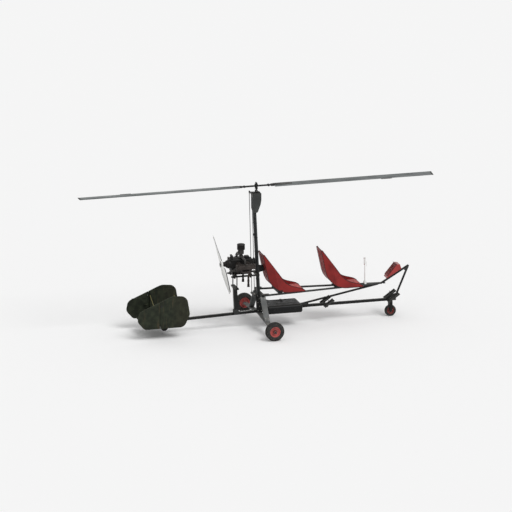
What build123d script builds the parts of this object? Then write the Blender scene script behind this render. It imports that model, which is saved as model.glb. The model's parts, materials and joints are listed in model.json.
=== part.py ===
from build123d import *
import os
from math import atan, cos, radians, sin, tan

# An open-frame gyrocopter for two, one seat behind the other, in millimetres.
# X points forward, Y to the left and Z up. The origin is on the ground, under the rotor's shaft.

# Clearances of pins in their holes, of axle nuts, of soft pads, and of moving pieces
pin_gap = 0.05
nut_gap = 1.0
soft_gap = 0.4
move_gap = 6.0

# Keel, a straight sloping tail boom and a level front part
keel_width = 50.0
keel_depth = 50.0
boom_slope = 1.86
keel_height_at_shaft = 314.0
front_keel_height = 350.0
tail_end_x = -2200.0
nose_end_x = 2915.0
tie_down_radius = 8.0
tie_down_inset = 22.0
tail_hole_x = -1450.0

# Mast, leaning back, and the plates at its foot
mast_width = 60.0
mast_lean = 2.81
mast_x_at_seat = 35.3
mast_seat_height = 876.0
cheek_length = 100.0
cheek_thickness = 8.0
cheek_bottom = 300.0
cheek_top = 668.0
doubler_start_x = -350.0
doubler_end_x = -50.0
doubler_thickness = 8.0

# Seat rails, running from the crossbar to a point at the nose, with the brace under them
rail_height = 700.0
rail_size = 32.0
rail_rear_y = 270.0
rail_tip_x = 2610.0
crossbar_size = 50.0
brace_size = 32.0
brace_slope = 10.34
brace_start_x = 905.0
gusset_start_x = 2240.0
gusset_thickness = 20.0
nose_tip_x = 3172.0
nose_tip_z = 1026.0
nose_tube_foot_x = 2897.0
# Plates on both sides of the nose tube's foot: x and height of their two free corners
nose_plate_start_x = 2700.0
nose_plate_corner = (2843.0, 443.0)
nose_plate_top = 466.0
nose_plate_thickness = 8.0

# Main wheels and the gear that carries them
gear_x = 64.0
wheel_y = 1120.0
wheel_radius = 190.0
wheel_width = 120.0
rim_radius = 105.0
rim_width = 92.0
hub_radius = 34.0
axle_radius = 12.0
stub_radius = 27.0
axle_nut_radius = 19.0
axle_nut_thickness = 10.0
# Shares of a wheel's width: half its flat tread, its rim's wall and half its web
tread_share = 0.28
rim_wall_share = 0.08
rim_web_share = 0.1
axle_chord = 100.0
axle_thickness = 24.0
leg_chord = 110.0
leg_thickness = 18.0
leg_foot_y = 580.0
leg_top_y = 250.0

# Nose wheel and its fork
nose_wheel_x = 2800.0
nose_wheel_radius = 115.0
nose_wheel_width = 74.0
nose_rim_radius = 72.0
nose_rim_width = 58.0
nose_hub_radius = 24.0
nose_axle_radius = 8.0
fork_length = 70.0
fork_foot_radius = 25.0
fork_thickness = 10.0
stem_radius = 12.0

# Tail wheel
tail_wheel_x = -1910.0
tail_wheel_radius = 75.0
tail_wheel_width = 44.0
tail_wheel_lift = 55.0
tail_axle_radius = 6.0
tail_bead_radius = 41.0
tail_rim_radius = 45.0
tail_rim_width = 35.0
tail_dish_radius = 37.0
tail_web_width = 22.0
tail_hub_radius = 19.0
bracket_length = 50.0
bracket_foot_half = 16.0
bracket_foot_drop = 14.0
bracket_thickness = 6.0

# Seats, the same twice
front_seat_x = 1620.0
seat_pitch = 1210.0
seat_back_height = 800.0
seat_back_lean = 12.2
seat_corner_x = -148.0
seat_bend_radius = 440.0
seat_length = 541.0
seat_lip_height = 22.0
wing_corner_x = 170.0
wing_corner_height = 150.0
wing_bend_radius = 430.0
wing_front_x = 475.0
wing_front_height = 64.0
wing_front_radius = 90.0
seat_top_depth = 24.0
seat_back_half_width = 165.0
seat_half_width = 240.0
seat_flare_depth = 150.0
seat_wall = 18.0
cushion_thickness = 40.0
cushion_margin = 24.0
seat_foot_front_x = 70.0
seat_foot_length = 90.0
seat_foot_height = 60.0
seat_brace_height = 1200.0
seat_brace_width = 50.0
seat_brace_rise = 80.0
seat_brace_length = 180.0
seat_brace_tip = 40.0

# Engine, a flat four lying behind the mast
crank_height = 1338.0
bed_top = 1120.0
bed_size = 30.0
bearer_y = 150.0
bed_rear_x = -560.0
post_x = -420.0
post_size = 76.0
post_top = 830.0
upright_radius = 11.0
case_front_x = -110.0
case_rear_x = -540.0
case_half_width = 85.0
case_bottom = 1190.0
case_top = 1440.0
case_corner = 24.0
sump_half_width = 62.0
foot_thickness = 25.0
flange_radius = 72.0
flange_front_x = -52.0
knob_radius = 17.0
knob_top = 1505.0
barrel_xs = (-220.0, -400.0)
barrel_radius = 40.0
cooling_fin_radius = 52.0
cooling_fin_pitch = 16.0
cooling_fin_thickness = 5.0
cooling_fin_count = 10
cooling_fin_start = 10.0
head_inner_y = 270.0
head_outer_y = 345.0
rocker_outer_y = 380.0
head_front_x = -115.0
head_rear_x = -505.0
head_height = 96.0
head_slot_count = 8
head_slot_depth = 12.0
rocker_reach = 96.0
carburettor_x = -318.0
carburettor_radius = 28.0
manifold_lift = 38.0
manifold_size = 70.0
filter_radius = 78.0
filter_lift = 142.0
filter_height = 112.0
bowl_radius = 58.0
bowl_lift = 23.0
bowl_height = 70.0
intake_radius = 20.0
intake_bend = 40.0
intake_y = 305.0
exhaust_radius = 20.0
exhaust_y = 198.0
exhaust_drop = 60.0
exhaust_bend = 48.0
exhaust_bottom = 890.0

# Propeller, turning behind the engine
gearbox_radius = 90.0
gearbox_shoulder_radius = 70.0
gearbox_neck_radius = 52.0
gearbox_nose_radius = 45.0
gearbox_rear_x = -690.0
prop_shaft_radius = 20.0
prop_shaft_depth = 46.0
prop_x = -722.0
prop_radius = 750.0
prop_pose = 55.0
prop_boss_radius = 66.0
prop_boss_length = 34.0
prop_cap_radius = 47.0
prop_cap_depth = 13.0
blade_crown_share = 0.7
# Blade sections: radius as a share of the tip's, chord, thickness, pitch in degrees
prop_sections = (
    (0.06, 62.0, 30.0, 62.0),
    (0.30, 104.0, 24.0, 40.0),
    (0.65, 98.0, 15.0, 23.0),
    (1.00, 56.0, 7.0, 15.0),
)

# Fuel tank, astride the keel
tank_start_x = 150.0
tank_end_x = 896.0
tank_half_width = 265.0
tank_bottom = 290.0
tank_top = 455.0
tank_corner = 40.0

# Rotor and its head
shaft_radius = 15.0
shaft_depth = 42.0
rotor_height = 2914.0
mast_drop = 144.0
rotor_radius = 3660.0
rotor_chord = 200.0
rotor_thickness = 24.0
rotor_pitch = 4.0
rotor_axis_share = 0.35
blade_root = 360.0
undersling = 25.0
teeter_bolt_radius = 6.0
tower_depth = 62.0
tower_rise = 74.0
tower_foot_length = 44.0
tower_head_length = 22.0
tower_floor = 22.0
ear_thickness = 9.0
hub_bar_width = 46.0
hub_bar_thickness = 24.0
hub_cheek_rise = 46.0
hub_cheek_half_foot = 44.0
hub_cheek_half_top = 8.0
hub_bar_gap = 1.0
grip_start = 300.0
grip_end = 480.0
grip_width = 64.0
grip_wall = 6.0
head_plate_thickness = 20.0
head_plate_front_x = 70.0
head_plate_half_width = 40.0
torque_bar_size = 22.0
torque_bar_x = -118.0
bearing_gap = 22.0
bearing_half_length = 24.0
fairing_half_width = 75.0
# Corners of the head's fairing, in the side view: x, drop below the mast's top
fairing_corners = (
    (-91.0, 0.0),
    (85.0, 0.0),
    (85.0, 134.0),
    (70.0, 226.0),
    (46.0, 292.0),
    (16.0, 374.0),
    (0.0, 393.0),
    (-62.0, 394.0),
    (-87.0, 320.0),
)
push_rod_y = 100.0
push_rod_radius = 6.0
push_rod_lean = 1.45
crank_bar_height = 690.0
crank_bar_size = 24.0

# Tail
fin_y = 437.0
tail_thickness = 16.0
fin_bottom = 231.0
hinge_x = -2130.0
hinge_pin_radius = 4.0
hinge_heights = (330.0, 690.0)
hinge_lug_height = 10.0
hinge_lug_width = 12.0
hinge_notch_gap = 2.0
rudder_swing = 25.0
# Corners of a fin with its rudder, in the side view: x, height, corner radius
fin_corners = (
    (-1622.0, fin_bottom, 130.0),
    (-1498.0, 478.0, 170.0),
    (-1562.0, 860.0, 150.0),
    (-1850.0, 888.0, 260.0),
    (-2545.0, 596.0, 130.0),
    (-2585.0, 400.0, 110.0),
    (-2440.0, fin_bottom, 100.0),
)
tailplane_start_x = -1750.0
tailplane_end_x = -2400.0
tailplane_thickness = 16.0
stay_radius = 9.0
# Stays from the tail's middle to the fins: x at the middle, x at the fin, height at the fin
stays = ((-1548.0, -1590.0, 650.0), (-2020.0, -2088.0, 690.0))

# Controls, foot plates and the instrument pod
stick_x = 2266.0
stick_top = 1257.0
stick_radius = 10.0
grip_length = 120.0
grip_radius = 17.0
stick_base_height = 24.0
stick_base_length = 40.0
foot_y = 132.0
foot_width = 124.0
foot_tilt = 35.0
foot_drop = 50.0
foot_bar_size = 24.0
plate_thickness = 8.0
flange_depth = 30.0
# Foot stations: x of the bar, length of its plates
foot_stations = ((1430.0, 235.0), (2761.0, 283.0))
pod_x = 2705.0
pod_lift = 39.0
pod_width = 210.0
pod_corner = 8.0
# Corners of the pod's side, along the nose tube and up from it, with its sloping face
pod_face_foot = (45.0, 20.0)
pod_face_head = (350.0, 130.0)
pod_corners = ((20.0, 0.0), pod_face_foot, pod_face_head, (397.0, 94.0), (377.0, 0.0))
pod_mount_start = 110.0
pod_mount_length = 130.0
pod_mount_width = 64.0
face_margin = 12.0
face_thickness = 6.0

# Heights that follow from the rotor's and the crankcase's
mast_top = rotor_height - mast_drop
tower_base = rotor_height - tower_depth
tower_top = rotor_height + tower_rise
bearing_top = tower_base - bearing_gap
manifold_height = case_top + manifold_lift
filter_bottom = manifold_height + filter_lift
filter_top = filter_bottom + filter_height


def boom_z(x):
    """Height of the keel's centre line: the sloping boom, or the level front part."""
    return min(keel_height_at_shaft + x * tan(radians(boom_slope)), front_keel_height)


def boom_top(x):
    """Height of the keel's upper face at x."""
    return boom_z(x) + keel_depth / 2


def mast_x(z):
    """The mast's centre line at height z."""
    return mast_x_at_seat - (z - mast_seat_height) * tan(radians(mast_lean))


def rail_y(x):
    """Distance of a seat rail's centre line from the middle at x."""
    return rail_rear_y * (rail_tip_x - x) / (rail_tip_x - gear_x)


def prism(plane, outline, length):
    """A solid of one outline, drawn on a plane and drawn out along its normal."""
    with BuildPart() as piece:
        with BuildSketch(plane):
            with BuildLine():
                Polyline(*outline, close=True)
            make_face()
        extrude(amount=length)
    return piece.part


def side_plate(outline, y_low, y_high):
    """A solid with an outline of (x, z) points, between two distances to the left."""
    return prism(Plane.XZ.offset(-y_high), outline, y_high - y_low)


def front_plate(outline, x_low, x_high):
    """A solid with an outline of (y, z) points, between two distances forward."""
    return prism(Plane.YZ.offset(x_low), outline, x_high - x_low)


def plan_plate(outline, z_low, z_high):
    """A solid with an outline of (x, y) points, between two heights."""
    return prism(Plane.XY.offset(z_low), outline, z_high - z_low)


def block(low, high):
    """A square block between two opposite corners."""
    return plan_plate([(low[0], low[1]), (high[0], low[1]), (high[0], high[1]), (low[0], high[1])],
                      low[2], high[2])


def upright_ends(start, end, depth):
    """Outline of a sloping bar, depth deep, cut upright at both ends."""
    half = depth / 2
    return [(start[0], start[1] - half), (end[0], end[1] - half),
            (end[0], end[1] + half), (start[0], start[1] + half)]


def level_ends(foot, head, length):
    """Outline of a leaning bar, length long, cut level at both ends."""
    half = length / 2
    return [(foot[0] - half, foot[1]), (foot[0] + half, foot[1]),
            (head[0] + half, head[1]), (head[0] - half, head[1])]


def rod(start, end, radius):
    """A round bar between two points."""
    along = Vector(*end) - Vector(*start)
    with BuildPart() as piece:
        with BuildSketch(Plane(origin=start, z_dir=along)):
            Circle(radius)
        extrude(amount=along.length)
    return piece.part


def bent_tube(points, bend, radius):
    """A round bar along straight runs that are joined by arcs."""
    start = Vector(*points[0])
    with BuildPart() as piece:
        with BuildLine() as path:
            FilletPolyline(*points, radius=bend)
        with BuildSketch(Plane(origin=start, z_dir=Vector(*points[1]) - start)):
            Circle(radius)
        sweep(path=path.line)
    return piece.part


def turned(origin, axis, profile):
    """A solid turned about an axis, from points of (distance along it, radius)."""
    side = Vector(*axis).cross(Vector(0, 0, 1) if axis[2] == 0 else Vector(1, 0, 0))
    with BuildPart() as piece:
        with BuildSketch(Plane(origin=origin, x_dir=axis, z_dir=side)):
            with BuildLine():
                Polyline(*profile, close=True)
            make_face()
        revolve(axis=Axis(origin, axis))
    return piece.part


def tyre(centre, radius, bead_radius, bead_width, width):
    """A tyre with a flat tread band and bulging walls, turned about its wheel's axle."""
    tread = width * tread_share
    wall_height = (radius + bead_radius) / 2
    with BuildPart() as piece:
        with BuildSketch(Plane(origin=centre, x_dir=(0, 1, 0), z_dir=(1, 0, 0))):
            with BuildLine():
                Line((-bead_width / 2, bead_radius), (bead_width / 2, bead_radius))
                ThreePointArc((bead_width / 2, bead_radius), (width / 2, wall_height),
                              (tread, radius))
                Line((tread, radius), (-tread, radius))
                ThreePointArc((-tread, radius), (-width / 2, wall_height),
                              (-bead_width / 2, bead_radius))
            make_face()
        revolve(axis=Axis(centre, (0, 1, 0)))
    return piece.part


def dished_rim(centre, outward, radius, width, hub, bore):
    """A rim with a dished web. Outward is 1 or -1, the side of the wheel that the dish opens to."""
    wall = width * rim_wall_share
    web = width * rim_web_share
    profile = [
        (-width / 2, radius), (-width / 2, radius - wall), (-web, radius - 2.2 * wall), (-web, hub),
        (-width / 2, hub), (-width / 2, bore), (width / 2, bore), (width / 2, hub * 0.8),
        (width * tread_share, hub), (web * 0.6, hub * 1.25), (web, radius - 2.6 * wall),
        (width / 2, radius - wall), (width / 2, radius),
    ]
    return turned(centre, (0, outward, 0), profile)


os.makedirs("parts", exist_ok=True)

# Keel
bend_x = (front_keel_height - keel_height_at_shaft) / tan(radians(boom_slope))
keel_side = keel_width / 2
front_keel_top = front_keel_height + keel_depth / 2
front_keel_bottom = front_keel_height - keel_depth / 2
nose_hole_x = nose_end_x - tie_down_inset

with BuildPart() as keel_rear:
    add(side_plate(upright_ends((tail_end_x, boom_z(tail_end_x)), (bend_x, front_keel_height),
                                keel_depth), -keel_side, keel_side))
    add(rod((tail_hole_x, -keel_width, boom_z(tail_hole_x)),
            (tail_hole_x, keel_width, boom_z(tail_hole_x)), tie_down_radius), mode=Mode.SUBTRACT)
keel_rear.part.label = "keel_rear"
export_step(keel_rear.part, "parts/keel_rear.step")

with BuildPart() as keel_front:
    add(block((bend_x, -keel_side, front_keel_bottom), (nose_end_x, keel_side, front_keel_top)))
    add(rod((nose_hole_x, -keel_width, front_keel_height),
            (nose_hole_x, keel_width, front_keel_height), tie_down_radius), mode=Mode.SUBTRACT)
    add(rod((nose_wheel_x, 0, 0), (nose_wheel_x, 0, 2 * front_keel_height),
            stem_radius + pin_gap), mode=Mode.SUBTRACT)
keel_front.part.label = "keel_front"
export_step(keel_front.part, "parts/keel_front.step")

# Mast, standing on the keel
mast_half = mast_width / 2
mast_span = mast_width / cos(radians(mast_lean))
foot_rear_x = mast_x(boom_top(0)) - mast_span / 2
foot_front_x = mast_x(boom_top(0)) + mast_span / 2
with BuildPart() as mast:
    add(side_plate([(foot_rear_x, boom_top(foot_rear_x)), (foot_front_x, boom_top(foot_front_x)),
                    (mast_x(mast_top) + mast_span / 2, mast_top),
                    (mast_x(mast_top) - mast_span / 2, mast_top)], -mast_half, mast_half))
mast.part.label = "mast"
export_step(mast.part, "parts/mast.step")

# Plates on both sides of the mast's foot, and the doubler on the keel behind it
with BuildPart() as mast_plates:
    add(side_plate(level_ends((mast_x(cheek_bottom), cheek_bottom), (mast_x(cheek_top), cheek_top),
                              cheek_length), mast_half, mast_half + cheek_thickness))
    mirror(about=Plane.XZ)
    doubler_lift = (keel_depth + doubler_thickness) / 2
    add(side_plate(upright_ends((doubler_start_x, boom_z(doubler_start_x) + doubler_lift),
                                (doubler_end_x, boom_z(doubler_end_x) + doubler_lift),
                                doubler_thickness), -keel_side, keel_side))
mast_plates.part.label = "mast_plates"
export_step(mast_plates.part, "parts/mast_plates.step")

# Crossbar and the seat rails
crossbar_front_x = gear_x + crossbar_size / 2
crossbar_bottom = rail_height - crossbar_size / 2
rail_top = rail_height + rail_size / 2
rail_bottom = rail_height - rail_size / 2
rail_half = rail_size / 2 / cos(atan(rail_rear_y / (rail_tip_x - gear_x)))
rail_end_x = rail_tip_x + rail_size / 3

with BuildPart() as crossbar:
    add(block((crossbar_front_x - crossbar_size, -rail_rear_y, crossbar_bottom),
              (crossbar_front_x, rail_rear_y, crossbar_bottom + crossbar_size)))
    add(mast.part, mode=Mode.SUBTRACT)
crossbar.part.label = "crossbar"
export_step(crossbar.part, "parts/crossbar.step")

inner_meet_x = rail_tip_x - rail_half * (rail_tip_x - gear_x) / rail_rear_y
with BuildPart() as seat_rails:
    add(plan_plate([(crossbar_front_x, rail_y(crossbar_front_x) - rail_half),
                    (crossbar_front_x, rail_y(crossbar_front_x) + rail_half),
                    (rail_end_x, rail_y(rail_end_x) + rail_half),
                    (rail_end_x, 0), (inner_meet_x, 0)], rail_bottom, rail_top))
    mirror(about=Plane.XZ)
seat_rails.part.label = "seat_rails"
export_step(seat_rails.part, "parts/seat_rails.step")

# Brace from the keel up to the point of the rails, with the gusset that fills their wedge
brace_rise = tan(radians(brace_slope))
brace_depth = brace_size / cos(radians(brace_slope))
brace_end_x = rail_tip_x - 2 * rail_size


def brace_z(x):
    """Height of the brace's centre line at x."""
    return rail_height - (rail_tip_x - x) * brace_rise


with BuildPart() as belly_brace:
    add(side_plate(upright_ends((brace_start_x, brace_z(brace_start_x)),
                                (brace_end_x, brace_z(brace_end_x)), brace_depth),
                   -brace_size / 2, brace_size / 2))
    add(side_plate([(gusset_start_x, brace_z(gusset_start_x)), (brace_end_x, brace_z(brace_end_x)),
                    (brace_end_x, rail_top), (gusset_start_x, rail_top)],
                   -gusset_thickness / 2, gusset_thickness / 2))
    add(block((brace_start_x - keel_width, -keel_width, 0),
              (nose_end_x, keel_width, boom_top(brace_start_x))), mode=Mode.SUBTRACT)
    add(seat_rails.part, mode=Mode.SUBTRACT)
belly_brace.part.label = "belly_brace"
export_step(belly_brace.part, "parts/belly_brace.step")

# Nose tubes: one up from the rails' point, one down from the tip to the keel and its plates
upper_slope = atan((nose_tip_z - rail_height) / (nose_tip_x - rail_tip_x))
front_lean = atan((nose_tip_x - nose_tube_foot_x) / (nose_tip_z - front_keel_top))
with BuildPart() as nose_tubes:
    add(side_plate(upright_ends((rail_tip_x, rail_height), (nose_tip_x, nose_tip_z),
                                rail_size / cos(upper_slope)), -rail_size / 2, rail_size / 2))
    add(side_plate(level_ends((nose_tube_foot_x, front_keel_top), (nose_tip_x, nose_tip_z),
                              rail_size / cos(front_lean)), -rail_size / 2, rail_size / 2))
    add(seat_rails.part, mode=Mode.SUBTRACT)
    plate_tip_x = nose_tube_foot_x + (nose_plate_top - front_keel_top) * tan(front_lean)
    for plate_y in (rail_size / 2, -rail_size / 2 - nose_plate_thickness):
        add(side_plate([(nose_plate_start_x, front_keel_top), (nose_tube_foot_x, front_keel_top),
                        (plate_tip_x, nose_plate_top), nose_plate_corner],
                       plate_y, plate_y + nose_plate_thickness))
    add(rod((nose_wheel_x, 0, front_keel_top), (nose_wheel_x, 0, nose_plate_top),
            stem_radius + move_gap), mode=Mode.SUBTRACT)
nose_tubes.part.label = "nose_tubes"
export_step(nose_tubes.part, "parts/nose_tubes.step")

# Axle beam under the keel, with a stub axle and its nut at each end
hub_inner_y = wheel_y - rim_width / 2
beam_end_y = hub_inner_y - move_gap
beam_z = boom_top(gear_x + axle_chord / 2) - keel_depth - axle_thickness / 2
with BuildPart() as axle_beam:
    add(front_plate([(0, beam_z - axle_thickness / 2), (beam_end_y, wheel_radius - axle_thickness / 2),
                     (beam_end_y, wheel_radius + axle_thickness / 2), (0, beam_z + axle_thickness / 2)],
                    gear_x - axle_chord / 2, gear_x + axle_chord / 2))
    axle_end_y = wheel_y + rim_width / 2 + nut_gap
    add(rod((gear_x, beam_end_y - hub_radius, wheel_radius), (gear_x, beam_end_y, wheel_radius),
            stub_radius))
    add(rod((gear_x, beam_end_y, wheel_radius), (gear_x, axle_end_y, wheel_radius), axle_radius))
    add(rod((gear_x, axle_end_y, wheel_radius), (gear_x, axle_end_y + axle_nut_thickness, wheel_radius),
            axle_nut_radius))
    mirror(about=Plane.XZ)
    add(keel_rear.part, mode=Mode.SUBTRACT)
axle_beam.part.label = "axle_beam"
export_step(axle_beam.part, "parts/axle_beam.step")

# Legs from the crossbar's ends down to the axle beam
beam_fall = (beam_z - wheel_radius) / beam_end_y
leg_foot_z = beam_z + axle_thickness / 2 - leg_foot_y * beam_fall
leg_lean = (leg_foot_y - leg_top_y) / (crossbar_bottom - leg_foot_z)
leg_half = leg_thickness / 2 / cos(atan(leg_lean))
with BuildPart() as gear_legs:
    add(front_plate([(leg_foot_y - leg_half, leg_foot_z + leg_half * beam_fall),
                     (leg_foot_y + leg_half, leg_foot_z - leg_half * beam_fall),
                     (leg_top_y + leg_half, crossbar_bottom), (leg_top_y - leg_half, crossbar_bottom)],
                    gear_x - leg_chord / 2, gear_x + leg_chord / 2))
    mirror(about=Plane.XZ)
gear_legs.part.label = "gear_legs"
export_step(gear_legs.part, "parts/gear_legs.step")

# Main wheels
for side, sign in (("left", 1), ("right", -1)):
    hub_centre = (gear_x, sign * wheel_y, wheel_radius)
    with BuildPart() as main_tyre:
        add(tyre(hub_centre, wheel_radius, rim_radius, rim_width, wheel_width))
    main_tyre.part.label = f"tyre_{side}"
    export_step(main_tyre.part, f"parts/tyre_{side}.step")

    with BuildPart() as main_rim:
        add(dished_rim(hub_centre, sign, rim_radius, rim_width, hub_radius, axle_radius + pin_gap))
    main_rim.part.label = f"rim_{side}"
    export_step(main_rim.part, f"parts/rim_{side}.step")

# Nose wheel, fork and the stem that turns in the keel
nose_centre = (nose_wheel_x, 0, nose_wheel_radius)
fork_inner_y = nose_wheel_width / 2 + move_gap
crown_bottom = 2 * nose_wheel_radius + 2 * move_gap
crown_top = front_keel_bottom - move_gap
fork_outer_y = fork_inner_y + fork_thickness
stem_top = front_keel_top + stem_radius
with BuildPart() as nose_fork:
    with BuildSketch(Plane.XZ.offset(-fork_outer_y)):
        with Locations((nose_wheel_x, nose_wheel_radius)):
            Circle(fork_foot_radius)
        with BuildLine():
            Polyline((nose_wheel_x - fork_foot_radius, nose_wheel_radius),
                     (nose_wheel_x + fork_foot_radius, nose_wheel_radius),
                     (nose_wheel_x + fork_length / 2, crown_bottom),
                     (nose_wheel_x - fork_length / 2, crown_bottom), close=True)
        make_face()
    extrude(amount=fork_thickness)
    mirror(about=Plane.XZ)
    add(block((nose_wheel_x - fork_length / 2, -fork_outer_y, crown_bottom),
              (nose_wheel_x + fork_length / 2, fork_outer_y, crown_top)))
    add(rod((nose_wheel_x, -fork_outer_y, nose_wheel_radius),
            (nose_wheel_x, fork_outer_y, nose_wheel_radius), nose_axle_radius))
    add(rod((nose_wheel_x, 0, crown_top), (nose_wheel_x, 0, stem_top), stem_radius))
    crown_edges = nose_fork.part.edges().filter_by(Axis.X).group_by(Axis.Z)[-1]
    fillet(crown_edges, radius=fork_thickness)
nose_fork.part.label = "nose_fork"
export_step(nose_fork.part, "parts/nose_fork.step")

with BuildPart() as nose_tyre:
    add(tyre(nose_centre, nose_wheel_radius, nose_rim_radius, nose_rim_width, nose_wheel_width))
nose_tyre.part.label = "nose_tyre"
export_step(nose_tyre.part, "parts/nose_tyre.step")

with BuildPart() as nose_rim:
    add(dished_rim(nose_centre, -1, nose_rim_radius, nose_rim_width, nose_hub_radius,
                   nose_axle_radius + pin_gap))
nose_rim.part.label = "nose_rim"
export_step(nose_rim.part, "parts/nose_rim.step")

# Tail wheel in its bracket under the boom
tail_axle_z = tail_wheel_lift + tail_wheel_radius
tail_centre = (tail_wheel_x, 0, tail_axle_z)
cheek_inner_y = tail_wheel_width / 2 + move_gap
tail_bracket_bottom = tail_axle_z + tail_wheel_radius + move_gap
with BuildPart() as tail_wheel_bracket:
    add(side_plate([(tail_wheel_x - bracket_foot_half, tail_axle_z - bracket_foot_drop),
                    (tail_wheel_x + bracket_foot_half, tail_axle_z - bracket_foot_drop),
                    (tail_wheel_x + bracket_length, boom_top(tail_wheel_x)),
                    (tail_wheel_x - bracket_length, boom_top(tail_wheel_x))],
                   cheek_inner_y, cheek_inner_y + bracket_thickness))
    mirror(about=Plane.XZ)
    add(block((tail_wheel_x - bracket_length, -cheek_inner_y, tail_bracket_bottom),
              (tail_wheel_x + bracket_length, cheek_inner_y, boom_top(tail_wheel_x))))
    add(rod((tail_wheel_x, -cheek_inner_y - bracket_thickness, tail_axle_z),
            (tail_wheel_x, cheek_inner_y + bracket_thickness, tail_axle_z), tail_axle_radius))
    behind_x = tail_wheel_x - 2 * bracket_length
    ahead_x = tail_wheel_x + 2 * bracket_length
    add(side_plate(upright_ends((behind_x, boom_top(behind_x)), (ahead_x, boom_top(ahead_x)),
                                2 * keel_depth), -2 * keel_width, 2 * keel_width),
        mode=Mode.SUBTRACT)
tail_wheel_bracket.part.label = "tail_wheel_bracket"
export_step(tail_wheel_bracket.part, "parts/tail_wheel_bracket.step")

with BuildPart() as tail_wheel:
    add(tyre(tail_centre, tail_wheel_radius, tail_bead_radius, tail_rim_width, tail_wheel_width))
    add(turned(tail_centre, (0, 1, 0),
               [(-tail_rim_width / 2, tail_axle_radius + pin_gap),
                (tail_rim_width / 2, tail_axle_radius + pin_gap),
                (tail_rim_width / 2, tail_hub_radius), (tail_web_width / 2, tail_dish_radius),
                (tail_rim_width / 2, tail_rim_radius), (-tail_rim_width / 2, tail_rim_radius),
                (-tail_web_width / 2, tail_dish_radius), (-tail_rim_width / 2, tail_hub_radius)]))
tail_wheel.part.label = "tail_wheel"
export_step(tail_wheel.part, "parts/tail_wheel.step")

# Seats: a shell bent from one curved back and base, with side wings, and a pad inside
lean_x = tan(radians(seat_back_lean))
corner_lean = radians(seat_back_lean)
seat_up = Vector(-sin(corner_lean), 0, cos(corner_lean))
seat_forward = Vector(cos(corner_lean), 0, sin(corner_lean))


def seat_wedge(place_x, inset, back_half, base_half):
    """The shell's width: narrow at the back, flaring forward to the wings."""
    origin = Vector(place_x + seat_corner_x, 0, rail_top)
    reach = 3 * seat_length
    outline = [(-reach, -back_half + inset), (0, -back_half + inset),
               (seat_flare_depth, -base_half + inset), (reach, -base_half + inset),
               (reach, base_half - inset), (seat_flare_depth, base_half - inset),
               (0, back_half - inset), (-reach, back_half - inset)]
    low_end = origin - seat_up * reach
    return prism(Plane(origin=low_end, x_dir=seat_forward, z_dir=seat_up), outline, 2 * reach)


def seat_inside(place_x, inset, back_half, base_half):
    """The space over the shell's back and base, moved in by inset and open at the top and front."""
    reach = 3 * seat_length
    with BuildPart() as inside:
        with BuildSketch(Plane.XZ.offset(-base_half)):
            with BuildLine():
                FilletPolyline(
                    (place_x + seat_corner_x - reach * lean_x, rail_top + reach),
                    (place_x + seat_corner_x, rail_top),
                    (place_x + reach, rail_top),
                    (place_x + reach, rail_top + reach),
                    radius=[0, seat_bend_radius, 0, 0], close=True)
            make_face()
            offset(amount=-inset, kind=Kind.INTERSECTION)
        extrude(amount=2 * base_half)
        add(seat_wedge(place_x, inset, back_half, base_half), mode=Mode.INTERSECT)
    return inside.part


seat_shells = {}
for place, place_x in (("front", front_seat_x), ("rear", front_seat_x - seat_pitch)):
    back_top_x = place_x + seat_corner_x - seat_back_height * lean_x
    with BuildPart() as seat:
        with BuildSketch(Plane.XZ.offset(-seat_half_width)):
            with BuildLine():
                FilletPolyline(
                    (back_top_x, rail_top + seat_back_height),
                    (place_x + seat_corner_x, rail_top),
                    (place_x + seat_length, rail_top),
                    (place_x + seat_length, rail_top + seat_lip_height),
                    (place_x + wing_front_x, rail_top + wing_front_height),
                    (place_x + wing_corner_x, rail_top + wing_corner_height),
                    (back_top_x + seat_top_depth, rail_top + seat_back_height),
                    radius=[0, seat_bend_radius, 0, 0, wing_front_radius, wing_bend_radius, 0],
                    close=True)
            make_face()
        extrude(amount=2 * seat_half_width)
        add(seat_wedge(place_x, 0, seat_back_half_width, seat_half_width), mode=Mode.INTERSECT)
        add(seat_inside(place_x, seat_wall, seat_back_half_width, seat_half_width),
            mode=Mode.SUBTRACT)
    seat.part.label = f"{place}_seat"
    export_step(seat.part, f"parts/{place}_seat.step")
    seat_shells[place] = seat.part

    # The pad lies along the shell's back and base, a soft piece just clear of it
    pad_inset = seat_wall + soft_gap
    pad_far_x = place_x + seat_length - cushion_margin
    pad_top = rail_top + seat_back_height - 2 * cushion_margin
    with BuildPart() as cushion:
        add(seat_inside(place_x, pad_inset, seat_back_half_width - cushion_margin,
                        seat_half_width - cushion_margin))
        add(seat_inside(place_x, pad_inset + cushion_thickness, 2 * seat_half_width,
                        2 * seat_half_width), mode=Mode.SUBTRACT)
        add(block((back_top_x - seat_length, -seat_half_width, 0),
                  (pad_far_x, seat_half_width, pad_top)), mode=Mode.INTERSECT)
    cushion.part.label = f"{place}_cushion"
    export_step(cushion.part, f"parts/{place}_cushion.step")

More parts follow.
